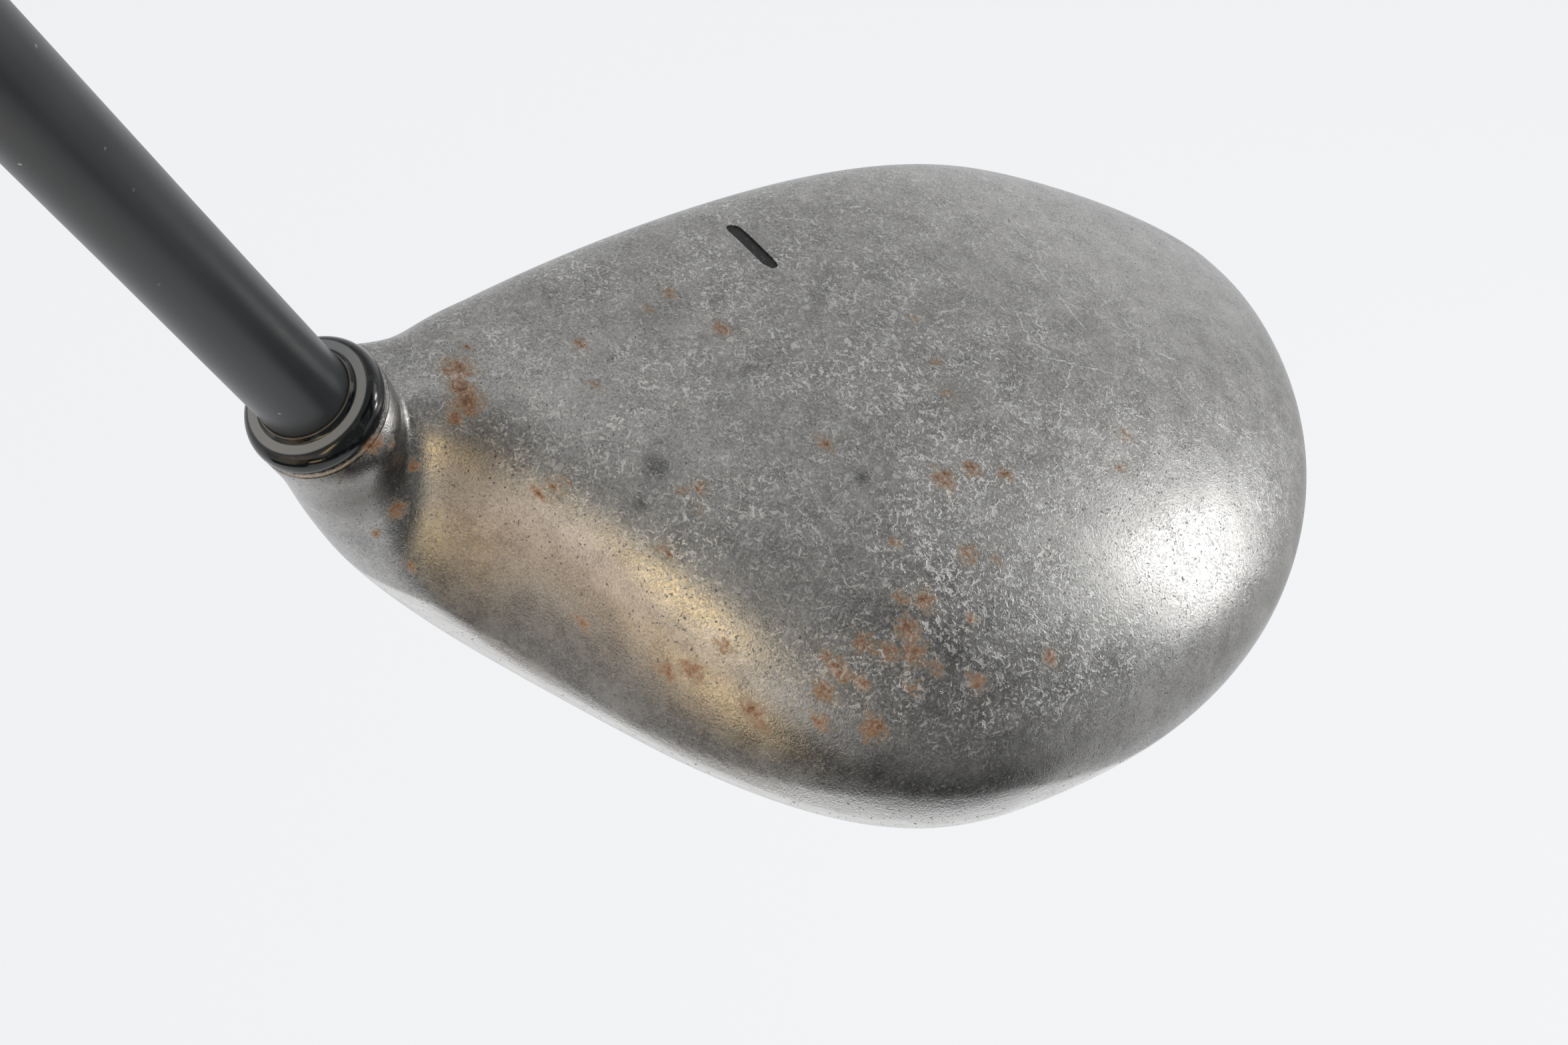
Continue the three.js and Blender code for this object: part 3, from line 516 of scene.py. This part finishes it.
def arrows(kind, *values):
    """One VectorMath node on vectors."""
    sockets = {f"_{k}": value for k, value in enumerate(values)}
    return add_node(tree, "VectorMath", {"operation": kind}, **sockets).outputs


def between(value, low, high, to_low=0.0, to_high=1.0):
    """Maps a value from one range to another and clamps it."""
    return add_node(tree, "MapRange", Value=value, From_Min=low, From_Max=high, To_Min=to_low,
                    To_Max=to_high).outputs[0]


def mix(share, first, second):
    """One colour gone over into another by a share."""
    return add_node(tree, "Mix", {"data_type": "RGBA"}, _0=share, _6=first, _7=second).outputs[2]


def ramp(share, *stops):
    """Colours blended along a share, from places on it and colours, in rising order."""
    node = add_node(tree, "ValToRGB", _0=share)
    elements = node.color_ramp.elements
    for k, (position, colour) in enumerate(stops):
        stop = elements[k] if k < 2 else elements.new(position)
        stop.position, stop.color = position, colour
    return node.outputs[0]


# Cast stainless steel, tumbled and then worn by years of play: a grey satin metal whose skin is
# covered with short curled scuffs that scatter light, with long scratches, stains and rust.
tumbled_steel, tree = start_material("tumbled_stainless_steel")
millimetres, centre_grey, curl = (1000, 1000, 1000), (0.5, 0.5, 0.5), (1.1, 1.1, 1.1)
in_mm = object_place(millimetres)
waver = add_node(tree, "TexNoise", Vector=in_mm, Scale=1 / 0.8, Detail=4.0,
                 Roughness=0.65).outputs["Color"]
curled = arrows("MULTIPLY_ADD", arrows("SUBTRACT", waver, centre_grey)[0], curl, in_mm)[0]

# Scuffs: a short straight stroke in each cell of three grids, bent by the curled coordinates.
# Each grid has a cell size in mm, an offset, and a stroke's width and half length in cells.
scuff_grids = (1.2, 0, 0.06, 0.6), (0.75, 31, 0.08, 0.6), (0.5, 57, 0.11, 0.55)
scuffs = None
for cell, offset, width, reach in scuff_grids:
    shifted = add_node(tree, "Mapping", Vector=curled, Location=(offset, offset / 2, offset / 3),
                       Scale=(1 / cell, 1 / cell, 1 / cell)).outputs[0]
    cells = add_node(tree, "TexVoronoi", Vector=shifted, Scale=1.0)
    away = arrows("SUBTRACT", shifted, cells.outputs["Position"])[0]
    lean = arrows("NORMALIZE", arrows("SUBTRACT", cells.outputs["Color"], centre_grey)[0])[0]
    beside = combine("ABSOLUTE", arrows("DOT_PRODUCT", away, lean)["Value"])
    line = between(beside, width * 1.5, width * 0.5)
    short = between(cells.outputs["Distance"], reach, reach - 0.15)
    keep = add_node(tree, "SeparateColor", _0=cells.outputs["Color"]).outputs["Blue"]
    scuff = combine("MULTIPLY", combine("MULTIPLY", line, short), between(keep, 0.25, 0.85))
    scuffs = scuff if scuffs is None else combine("MAXIMUM", scuffs, scuff)
# Flakes: the brighter cells of a fine mosaic. Nicks: small pits in a few of the cells, dented in
# the bump and painted dark as painted shade in the pits.
mosaic = add_node(tree, "TexVoronoi", Vector=curled, Scale=1 / 0.34)
mosaic_tone = add_node(tree, "SeparateColor", _0=mosaic.outputs["Color"]).outputs
flakes = combine("MULTIPLY", between(mosaic_tone["Red"], 0.4, 0.85),
                 between(mosaic.outputs["Distance"], 0.5, 0.25))
scuffs = combine("MAXIMUM", scuffs, combine("MULTIPLY", flakes, 0.75))
shaded_nicks = combine("MULTIPLY", between(mosaic_tone["Green"], 0.8, 0.86),
                between(mosaic.outputs["Distance"], 0.34, 0.16))
patch = noise(in_mm, 1 / 8, 4, 0.6)
wear_mark = mark("wear")
density = combine("MULTIPLY", between(patch, 0.36, 0.6, 0.35, 0.95), wear_mark)
scuffed = combine("MULTIPLY", scuffs, density)
frost = noise(in_mm, 1 / 0.22, 3, 0.6)
scuffed = combine("MAXIMUM", scuffed,
                  combine("MULTIPLY", between(frost, 0.5, 0.75, 0.0, 0.5), density))

# Long scratches: the nearest of the upright boxes round their segments, each in coordinates of
# its own that reach 1 at the box's sides.
scratch_half_width, scratch_middle_z, scratch_half_height = 0.11, 30, 60
nearest = None
for x0, y0, x1, y1 in scratches:
    half = math.hypot(x1 - x0, y1 - y0) / 2
    own = add_node(tree, "Mapping", {"vector_type": "TEXTURE"}, Vector=curled,
                   Location=((x0 + x1) / 2, (y0 + y1) / 2, scratch_middle_z),
                   Scale=(half, scratch_half_width, scratch_half_height),
                   Rotation=(0, 0, math.atan2(y1 - y0, x1 - x0))).outputs[0]
    own = add_node(tree, "SeparateXYZ", Vector=arrows("ABSOLUTE", own)[0]).outputs
    far = combine("MAXIMUM", combine("MAXIMUM", own["X"], own["Y"]), own["Z"])
    nearest = far if nearest is None else combine("MINIMUM", nearest, far)
scratched = combine("MULTIPLY", between(nearest, 1.0, 0.5), between(frost, 0.4, 0.5, 0.2, 0.75))
scuffed = combine("MAXIMUM", scuffed, scratched)

# Greys: the mottled casting, the skirt's painted reflection, the bright scuffs, then stains, grime
# and painted shade.
cloud = noise(in_mm, 1 / 3.2, 6, 0.7)
grain = combine("ADD", combine("MULTIPLY", cloud, 0.5), combine("MULTIPLY", frost, 0.5))
grey = ramp(grain, (0.36, linear("#868584")), (0.64, linear("#bbbab8")))
brush_lines = add_node(tree, "Mapping", Vector=in_mm, Scale=(0.25, 0.25, 6)).outputs[0]
brushed = between(noise(brush_lines, 1, 4), 0.35, 0.65)
# Painted reflection: the skirt's steel is a much lighter grey, standing in for the pale floor it
# reflects, with brushed lines in it.
skirt_reflection_grey = mix(brushed, linear("#d4d3d1"), linear("#e8e7e5"))
cast_grey = mix(mark("skirt"), grey, skirt_reflection_grey)
bright = mix(scuffed, cast_grey, linear("#e5e5e3"))
stain_and_pit_shade = between(combine("MULTIPLY_ADD", mark("stain"), 0.4, frost), 0.66, 0.9, 0.0, 0.75)
# Painted shade: the nicks are darkened in colour as if shade lay in the pits.
stain_and_pit_shade = combine("MAXIMUM", stain_and_pit_shade, combine("MULTIPLY", shaded_nicks, 0.7))
darker = mix(stain_and_pit_shade, bright, linear("#434547"))
# Painted shade: the fillet beside the neck and the neck's outer side are darkened brown, partly
# grime.
shade_and_grime_colour = mix(combine("MULTIPLY", mark("shade_and_grime"), 0.66), darker, linear("#4e4942"))

# Rust: fine flecks, yellowish at their edges, orange and then dark brown where they are thick.
thick = combine("MULTIPLY_ADD", mark("rust"), 0.36, noise(in_mm, 1 / 0.55, 6, 0.75))
rusted = between(thick, 0.58, 0.88, 0.0, 0.8)
rust_tone = ramp(between(thick, 0.6, 0.94), (0.1, linear("#968244")),
                 (0.45, linear("#a66a12")), (0.9, linear("#6b3c0a")))
coloured = mix(rusted, shade_and_grime_colour, rust_tone)
# Painted shade: the floors of the sunk seats and score lines, and the walls down to them, are
# darkened to near-black.
steel_colour = mix(combine("MULTIPLY", mark("recess"), 0.8), coloured, linear("#2a2a2a"))
lost = combine("SUBTRACT", 1.0, combine("MULTIPLY", scuffed, 0.6))
metallic = between(combine("SUBTRACT", lost, rusted), 0.0, 1.0)
satin = combine("ADD", between(cloud, 0.3, 0.7, 0.23, 0.29), combine("MULTIPLY", wear_mark, 0.07))
roughness = combine("ADD", combine("ADD", satin, combine("MULTIPLY", scuffed, 0.12)),
                    combine("MULTIPLY", rusted, 0.4))
relief = combine("SUBTRACT", frost, combine("MULTIPLY", scuffed, 0.7))
relief = combine("SUBTRACT", relief, shaded_nicks)
bump = add_node(tree, "Bump", Strength=0.5, Distance=0.00007, Height=relief).outputs[0]
finish_material(head, tumbled_steel, add_node(
    tree, "BsdfPrincipled", Base_Color=steel_colour, Metallic=metallic, Roughness=roughness,
    Specular_IOR_Level=between(rusted, 0.0, 0.7, 0.5, 0.15), Normal=bump).outputs[0])
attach(head, "root")
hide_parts("head_body")


# Sole plate: a pressed stainless plate, laser welded into the sole opening and brushed flush.
plate, plate_faces = tile(skin, skin_faces, skin_normals, plate_level(-glue_gap), 0.0,
                          plate_thickness)
sole_plate = put_mesh("welded_sole_plate", plate, plate_faces)

# Brushed stainless plate: fine straight lines from heel to toe, worn by turf.
brushed_steel, tree = start_material("brushed_stainless_plate")
brushing = noise(object_place((60, 3500, 3500)), 1, 4)
plate_grey = ramp(brushing, (0, linear("#97968f")), (1, linear("#c6c5c0")))
plate_bump = add_node(tree, "Bump", Strength=0.3, Distance=0.00003, Height=brushing).outputs[0]
finish_material(sole_plate, brushed_steel, add_node(
    tree, "BsdfPrincipled", Base_Color=plate_grey, Metallic=1.0,
    Roughness=between(brushing, 0, 1, 0.25, 0.45), Normal=plate_bump).outputs[0])
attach(sole_plate, "root")
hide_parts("sole_plate")


# Alignment dash: matt black enamel run into its slot in the crown and wiped level.
dash, dash_faces = tile(skin, skin_faces, skin_normals, dash_level(-paint_gap), paint_top,
                        paint_foot)
alignment_dash = put_mesh("alignment_dash_enamel", dash, dash_faces)

# Enamel: nearly black, with worn thin places where steel dust lies in it.
enamel, tree = start_material("black_enamel_fill")
enamel_tone = ramp(noise(object_place(), 1400, 5), (0.55, linear("#1b1d1f")),
                   (0.75, linear("#4c4d4d")))
finish_material(alignment_dash, enamel, add_node(
    tree, "BsdfPrincipled", Base_Color=enamel_tone, Roughness=0.55).outputs[0])
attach(alignment_dash, "root")
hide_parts("alignment_paint")


# Tip plug: a black nylon plug pressed into the shaft's tip, its flange cut flush with the sole.
plug, plug_faces = tile(skin, skin_faces, skin_normals, bore_level(plug_radius), 0.0,
                        plug_thickness)
tip_plug = put_mesh("shaft_tip_plug", plug, plug_faces)

# Nylon: black, matt from turf.
nylon, tree = start_material("black_nylon")
nylon_rough = between(noise(object_place(), 900, 4), 0, 1, 0.4, 0.7)
finish_material(tip_plug, nylon, add_node(
    tree, "BsdfPrincipled", Base_Color=linear("#141516"), Roughness=nylon_rough).outputs[0])
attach(tip_plug, "root")
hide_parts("tip_plug")


# Foam core: light yellow foam poured into the hollow head. Only the casting's solid shows it.
foam, tree = start_material("cured_expanding_foam")
cells = add_node(tree, "TexVoronoi", Vector=object_place(), Scale=900.0).outputs["Distance"]
foam_tone = ramp(cells, (0, linear("#b89a4e")), (1, linear("#dcc98a")))
finish_material(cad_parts["foam_core"], foam, add_node(
    tree, "BsdfPrincipled", Base_Color=foam_tone, Roughness=0.95).outputs[0])


# Shaft: a tapered tube of graphite cloth wound in resin, sanded and sprayed near-black with a
# clear coat. It is bonded through the neck down to the sole.
club_length, grip_length = 1085.0, 267.0
tip_along, tip_parallel, tip_radius, butt_radius = 8.2, 60.0, 4.3, 7.6
cap_rim, cap_dome, cap_stem = 2.0, 2.2, 3.0
grip_top = club_length - cap_rim - cap_dome - glue_gap
shaft_top = grip_top - cap_stem - glue_gap
grip_mouth = club_length - grip_length
shaft_rows, shaft_columns, shaft_edge = 160, 96, 0.3


def shaft_radius(along):
    """Parallel tip, then an even taper up to the butt."""
    rise = (butt_radius - tip_radius) / (shaft_top - tip_along - tip_parallel)
    return tip_radius + rise * np.maximum(0, along - tip_along - tip_parallel)


def turned(alongs, radii, columns, closed=False):
    """Rings round the shaft's axis: distance along it and radius for each, radii may vary round
    the ring. A closed profile joins its last ring to its first, an open one ends on the axis."""
    angle = 2 * np.pi * np.arange(columns) / columns
    out = np.cos(angle)[:, None] * across_axis + np.sin(angle)[:, None] * np.array([0, -1.0, 0])
    radii = np.broadcast_to(np.asarray(radii, float).reshape(len(alongs), -1),
                            (len(alongs), columns))
    points = ground_point + np.asarray(alongs)[:, None, None] * axis + radii[..., None] * out
    points = points.reshape(-1, 3)
    faces = ring_faces(len(alongs), columns)
    j = np.arange(columns)
    following = (j + 1) % columns
    last = (len(alongs) - 1) * columns
    if closed:
        join = [np.stack([last + j, last + following, following], -1),
                np.stack([last + j, following, j], -1)]
    else:
        points = np.concatenate([points, [ground_point + alongs[0] * axis,
                                          ground_point + alongs[-1] * axis]])
        join = [np.stack([np.full(columns, len(points) - 2), following, j], -1),
                np.stack([last + j, last + following, np.full(columns, len(points) - 1)], -1)]
    return points, np.concatenate([faces, *join])


shaft_alongs = np.concatenate([[tip_along], np.linspace(
    tip_along + shaft_edge, shaft_top - shaft_edge, shaft_rows), [shaft_top]])
shaft_radii = shaft_radius(shaft_alongs)
shaft_radii[[0, -1]] -= shaft_edge
shaft_points, shaft_faces = turned(shaft_alongs, shaft_radii, shaft_columns)
shaft = put_mesh("graphite_shaft", shaft_points, shaft_faces)

# Clear-coated black paint: dark, soft gloss, with fine dust and a few chips low down.
shaft_paint, tree = start_material("clear_coated_black_paint")
in_mm = object_place(millimetres)
mottle = noise(in_mm, 1 / 6, 4)
paint_tone = ramp(mottle, (0, linear("#1c2023")), (1, linear("#2a2e31")))
specks = add_node(tree, "TexVoronoi", Vector=in_mm, Scale=1 / 1.6).outputs["Distance"]
few = between(noise(in_mm, 1 / 4, 2), 0.58, 0.66, 0, 0.6)
chipped = combine("MULTIPLY", between(specks, 0.13, 0.07), few)
finish_material(shaft, shaft_paint, add_node(
    tree, "BsdfPrincipled", Base_Color=mix(chipped, paint_tone, linear("#b9bab8")),
    Roughness=between(mottle, 0, 1, 0.26, 0.4)).outputs[0])
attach(shaft, "root")
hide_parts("shaft")


# Ferrule: a black moulded collar glued on the shaft and turned down to the neck: a thin lip, a
# round bead, a flat ledge and a short cone. Its top edge is coloured tan in a thin band.
foot = neck_along + glue_gap
seam_radius, bead_radius, bead_middle = 6.5, 6.63, 0.55
ledge_height, ledge_outer, ledge_inner = 2.36, 5.57, 4.95
collar_radius, ferrule_height, ferrule_bore, ferrule_edge = 4.5, 2.92, tip_radius + 0.05, 0.06
ferrule_columns = 128


def ferrule_profile():
    """Distances along and radii: out over the foot, up a bead that is a quarter of a
    superellipse from its widest place to the ledge's sharp edge, in over the flat ledge, up a
    short hollow cone to the thin top edge and down the bore."""
    rise = np.linspace(0, 1, 40)
    bead = np.stack([bead_middle + (ledge_height - bead_middle) * rise,
                     ledge_outer + (bead_radius - ledge_outer) * (1 - rise**2.2) ** 0.62], 1)
    neck = np.linspace(0, 1, 8)[1:]
    cone = np.stack([
        ledge_height + (ferrule_height - ferrule_edge - ledge_height) * neck**1.6,
        ledge_inner - (ledge_inner - collar_radius) * neck], 1)
    return np.concatenate([
        [(0.0, ferrule_bore), (0.0, seam_radius - 0.1), (ferrule_edge, seam_radius)], bead,
        [(ledge_height, ledge_inner + 0.02)], cone,
        [(ferrule_height, collar_radius - 0.05), (ferrule_height, ferrule_bore)]])


profile = ferrule_profile()
ferrule_points, ferrule_faces = turned(foot + profile[:, 0], profile[:, 1], ferrule_columns,
                                       closed=True)
ferrule = put_mesh("moulded_ferrule", ferrule_points, ferrule_faces)
mark_points(ferrule, "along", (ferrule_points - ground_point) @ axis - foot)

# Cellulose acetate, polished: black with a wet gloss and spots of dust. The flat ledge is painted
# light grey, a painted sheen on its upward face, and is rougher.
acetate, tree = start_material("polished_black_acetate")
height = mark("along")
dust_noise = noise(object_place(), 1200, 6, 0.7)
# A thin tan band at the ferrule's top edge.
tan_top_band = between(height, ferrule_height - 0.1, ferrule_height - 0.04, 0, 0.7)
# Painted sheen: the flat ledge is coloured light grey, standing in for the light its upward face
# catches.
ledge_painted_sheen = combine("MULTIPLY", between(height, ledge_height - 0.06, ledge_height - 0.01),
                     between(height, ledge_height + 0.06, ledge_height + 0.01))
dusty = between(dust_noise, 0.55, 0.8, 0, 0.25)
acetate_tone = mix(dusty, linear("#0c0f11"), linear("#6f7272"))
acetate_colour = mix(tan_top_band, mix(ledge_painted_sheen, acetate_tone, linear("#97999a")), linear("#6c675d"))
gloss = between(dust_noise, 0.4, 0.8, 0.1, 0.26)
finish_material(ferrule, acetate, add_node(
    tree, "BsdfPrincipled", Base_Color=acetate_colour,
    Roughness=combine("MULTIPLY_ADD", ledge_painted_sheen, 0.22, gloss)).outputs[0])
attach(ferrule, "root")
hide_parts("ferrule")


# Grip tape: cream paper tape wound on the shaft's butt, under the grip.
tape, tree = start_material("crepe_paper_tape")
tape_tone = ramp(noise(object_place(), 1500, 3), (0, linear("#b8ab8a")), (1, linear("#d8cdb0")))
finish_material(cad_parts["grip_tape"], tape, add_node(
    tree, "BsdfPrincipled", Base_Color=tape_tone, Roughness=0.9).outputs[0])


# Grip: a slip-on rubber sleeve, moulded with a bead at its mouth, ring grooves near each end
# and a field of fine crossed ribs between them, stretched over the taped butt.
tape_thickness, mouth_wall = 0.3, 1.5
taped = 2 * glue_gap + tape_thickness
mouth_radius = shaft_radius(grip_mouth) + taped + mouth_wall
butt_start = grip_top - 14.0
upper_start = butt_start - 75.0
band_length, band_rise = 5.0, 0.5
band_top = grip_mouth + band_length
butt_foot_radius, butt_top_radius = 12.4, 13.2
ring_pitch, ring_depth, ring_half_width = 3.4, 0.5, 0.8
rib_count, rib_pitch, rib_depth, rib_crest = 14, 6.5, 0.28, 0.7
field_margin, field_fade = 3, 2
grip_columns, grip_edge = 168, 0.15


def grip_radius(along, angle):
    """Straight tapers through the mouth, upper hand and butt, less ring grooves with a round
    section and, over the field, two crossing families of helical grooves cos(k angle +- m x)."""
    upper_foot = butt_foot_radius - (butt_radius - shaft_radius(upper_start))
    base = np.interp(along, [grip_mouth, grip_mouth + band_length / 4,
                             grip_mouth + band_length * 3 / 4, band_top, upper_start, butt_start,
                             grip_top],
                     [mouth_radius, mouth_radius + band_rise, mouth_radius + band_rise,
                      mouth_radius, upper_foot, butt_foot_radius, butt_top_radius])
    rings = [band_top + ring_pitch, band_top + 2 * ring_pitch,
             butt_start - 2 * ring_pitch, butt_start - ring_pitch]
    cut = sum(ring_depth * np.clip(1 - ((along - ring) / ring_half_width) ** 2, 0, 1)
              for ring in rings)
    field = (np.clip((along - rings[1] - field_margin) / field_fade, 0, 1)
             * np.clip((rings[2] - field_margin - along) / field_fade, 0, 1))
    lean = 2 * np.pi * along / rib_pitch
    ribs = np.maximum(np.cos(rib_count * angle + lean), np.cos(rib_count * angle - lean))
    ribs = np.clip(ribs - rib_crest, 0, 1 - rib_crest) / (1 - rib_crest)
    return base - cut - rib_depth * field * ribs


# Rows along the grip, closer near its two ends where the bands and rings are.
grip_alongs = np.concatenate([
    [grip_mouth], np.linspace(grip_mouth + 0.1, grip_mouth + 16, 80)[:-1],
    np.linspace(grip_mouth + 16, grip_top - 24, 340)[:-1],
    np.linspace(grip_top - 24, grip_top - 0.1, 96), [grip_top]])
grip_angles = 2 * np.pi * np.arange(grip_columns) / grip_columns
grip_rings = grip_radius(grip_alongs[:, None], grip_angles[None, :])
grip_rings[[0, -1]] -= grip_edge
inner_alongs = np.array([grip_top, shaft_top, grip_mouth])
inner_radii = shaft_radius(np.minimum(inner_alongs, shaft_top)) + taped
inner_rings = np.repeat(inner_radii[:, None], grip_columns, axis=1)
grip_points, grip_faces = turned(
    np.concatenate([grip_alongs, inner_alongs]), np.concatenate([grip_rings, inner_rings]),
    grip_columns, closed=True)
grip = put_mesh("slip_on_grip", grip_points, grip_faces, sharp=50)

# Moulded natural rubber: dark, dry and matt, a little polished where hands have been.
rubber, tree = start_material("moulded_rubber")
in_mm = object_place(millimetres)
handled = noise(in_mm, 1 / 25, 3)
rubber_tone = ramp(handled, (0, linear("#191a1b")), (1, linear("#2b2c2c")))
rubber_bump = add_node(tree, "Bump", Strength=0.4, Distance=0.0001,
                       Height=noise(in_mm, 1 / 0.4, 4)).outputs[0]
finish_material(grip, rubber, add_node(
    tree, "BsdfPrincipled", Base_Color=rubber_tone,
    Roughness=between(handled, 0.3, 0.7, 0.55, 0.85), Normal=rubber_bump).outputs[0])
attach(grip, "root")
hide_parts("grip")


# Grip cap: a round rubber cap with a small vent hole, let into the end of the grip.
cap_under = grip_top + glue_gap
vent_radius, vent_edge, flat_radius, cap_radius, cap_edge = 1.2, 0.15, 9.0, 13.4, 0.3


def cap_profile():
    """Distances along and radii: up the vent's wall, out over the flat, over a rounded shoulder,
    down the rim with rounded edges, in under the rim and down the stem."""
    stem = shaft_radius(shaft_top) + 2 * glue_gap
    foot_along = cap_under - cap_stem
    turn = np.linspace(0, np.pi / 2, 10)
    shoulder = np.stack([cap_under + cap_rim + cap_dome * np.cos(turn),
                         flat_radius + (cap_radius - flat_radius) * np.sin(turn) ** 1.5], 1)
    return np.concatenate([
        [(foot_along, stem), (foot_along, vent_radius), (club_length - 0.1, vent_radius),
         (club_length, vent_radius + vent_edge)], shoulder,
        [(cap_under + cap_edge, cap_radius), (cap_under, cap_radius - cap_edge),
         (cap_under, stem)]])[::-1]


profile = cap_profile()
cap_points, cap_faces = turned(profile[:, 0], profile[:, 1], shaft_columns, closed=True)
grip_cap = put_mesh("grip_cap", cap_points, cap_faces)
cap_rubber = rubber.copy()
cap_rubber.name = "moulded_cap_rubber"
grip_cap.data.materials.append(cap_rubber)
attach(grip_cap, "root")
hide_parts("grip_cap")


# Studio: a pale glowing paper floor well below the club, which is held up clear of it, and a
# pale room that is darker overhead. Softboxes stand beyond the toe, warm lamps behind the heel
# and dim cards in front. Dark and grey flags round the head show only in its reflections.
floor_reach, floor_z = 9, -0.3
floor_mesh = bpy.data.meshes.new("floor")
floor_mesh.from_pydata([(x * floor_reach, y * floor_reach, floor_z) for x, y in (
    (-1, -1), (1, -1), (1, 1), (-1, 1))], [], [(0, 1, 2, 3)])
floor = bpy.data.objects.new("floor", floor_mesh)
bpy.context.scene.collection.objects.link(floor)
paper, tree = start_material("white_paper_floor")
finish_material(floor, paper, add_node(
    tree, "BsdfPrincipled", Base_Color=linear("#8c8d8f"), Roughness=0.9, Specular_IOR_Level=0.0,
    Emission_Color=linear("#f6f7f9"), Emission_Strength=0.78).outputs[0])

world = bpy.data.worlds.new("pale_room")
bpy.context.scene.world = world
world.use_nodes = True
tree = world.node_tree
tree.nodes.clear()
looking = add_node(tree, "TexCoord").outputs["Generated"]
upness = add_node(tree, "SeparateXYZ", Vector=looking).outputs["Z"]
room = ramp(upness, (0, (0.85, 0.85, 0.86, 1)), (0.55, (0.48, 0.48, 0.48, 1)),
            (1, (0.4, 0.4, 0.4, 1)))
room_light = add_node(tree, "Background", Color=room, Strength=1.0).outputs[0]
add_node(tree, "OutputWorld", Surface=room_light)


def flag(name, azimuths, elevations, glow, far=0.36):
    """A patch of a sphere round the head, from two azimuths and two elevations in degrees."""
    rows, columns = 16, 24
    a, e = np.meshgrid(np.radians(np.linspace(*azimuths, columns)),
                       np.radians(np.linspace(*elevations, rows)))
    a, e = a.ravel(), e.ravel()
    points = np.stack([np.cos(a) * np.cos(e), np.sin(a) * np.cos(e), np.sin(e)], 1) * far
    i, j = [k.ravel() for k in np.meshgrid(np.arange(rows - 1), np.arange(columns - 1),
                                           indexing="ij")]
    corner = i * columns + j
    mesh = bpy.data.meshes.new(name)
    mesh.from_pydata((points + head_middle).tolist(), [], np.stack(
        [corner, corner + 1, corner + columns + 1, corner + columns], 1).tolist())
    card = bpy.data.objects.new(name, mesh)
    bpy.context.scene.collection.objects.link(card)
    card.visible_camera = card.visible_diffuse = card.visible_shadow = False
    cloth, cloth_tree = start_material(name + "_cloth")
    finish_material(card, cloth, add_node(
        cloth_tree, "Emission", Color=(glow, glow, glow, 1), Strength=1.0).outputs[0])


head_middle = np.array([0, -0.02, 0.02])
flag("dark_flag", (-132, -52), (-12, 44), 0.2)
flag("low_flag", (-132, -52), (-36, -12), 0.02)
flag("neck_flag", (-154, -132), (-36, -6), 0.02)
flag("heel_flag", (-205, -150), (-46, -34), 0.02)
flag("heel_grey", (-205, -166), (-34, -6), 0.55)
flag("heel_dim", (-166, -154), (-36, -6), 0.12)
flag("high_flag", (-100, -24), (45, 64), 0.03)
flag("side_flag", (-52, -40), (10, 44), 0.04)
flag("toe_flag", (-62, 14), (-38, 8), 0.62, far=0.34)


def area_light(name, aim, azimuth, elevation, distance, wide, tall, power, colour):
    """A rectangular lamp at a distance from a point, in a direction, facing the point."""
    lamp = bpy.data.lights.new(name, "AREA")
    lamp.shape, lamp.size, lamp.size_y = "RECTANGLE", wide, tall
    lamp.energy, lamp.color = power, linear(colour)[:3]
    holder = bpy.data.objects.new(name, lamp)
    a, e = math.radians(azimuth), math.radians(elevation)
    back = np.array([math.cos(a) * math.cos(e), math.sin(a) * math.cos(e), math.sin(e)])
    side = np.array([-math.sin(a), math.cos(a), 0])
    turn = np.eye(4)
    turn[:3, 0], turn[:3, 1], turn[:3, 2] = side, np.cross(back, side), back
    turn[:3, 3] = np.array(aim) * 0.001 + back * distance
    holder.matrix_world = Matrix(turn.tolist())
    holder.visible_camera = False
    bpy.context.scene.collection.objects.link(holder)


toe_shoulder = (16, -46, 21)
area_light("softbox", toe_shoulder, -19, 26, 0.8, 0.09, 0.1, 0.95, "#ffffff")
area_light("softbox_low", toe_shoulder, -26, 12, 0.8, 0.09, 0.1, 0.65, "#ffffff")
area_light("soft_halo", toe_shoulder, -12, 36, 0.8, 0.28, 0.24, 0.27, "#ffffff")
area_light("warm_lamp", (-31, -30, 24), -156, 21, 0.1, 0.016, 0.042, 0.0108, "#ffd98c")
area_light("heel_lamp", (-45, -8, 22), -139, -19, 0.1, 0.03, 0.012, 0.0048, "#ffe4b0")
area_light("warm_halo", (-32, -30, 24), -173, -8, 0.3, 0.2, 0.24, 0.07, "#ffc266")
area_light("front_card", (-20, 0, 30), 80, 67, 0.5, 0.3, 0.3, 0.11, "#ffffff")
area_light("front_low", (25, -8, 28), 30, 14, 0.5, 0.25, 0.2, 0.03, "#ffffff")

# Camera where the photograph was taken from: above and behind the heel, looking at the toe.
right = (0.7834, -0.5983, 0.1681)
upward = (0.3227, 0.6228, 0.7127)
backward = (-0.5312, -0.504, 0.681)
camera_place = (-0.1564, -0.1564, 0.2)
focal_pixels, frame_pixels, sensor_width = 4200, 2352, 36
camera = bpy.data.objects.new("camera", bpy.data.cameras.new("camera"))
camera.data.sensor_width = sensor_width
camera.data.lens = focal_pixels * sensor_width / frame_pixels
camera.data.clip_start = 0.01
camera.matrix_world = Matrix([*zip(right, upward, backward, camera_place), (0, 0, 0, 1)])
bpy.context.scene.collection.objects.link(camera)
bpy.context.scene.camera = camera
bpy.context.scene.view_settings.view_transform = "Standard"
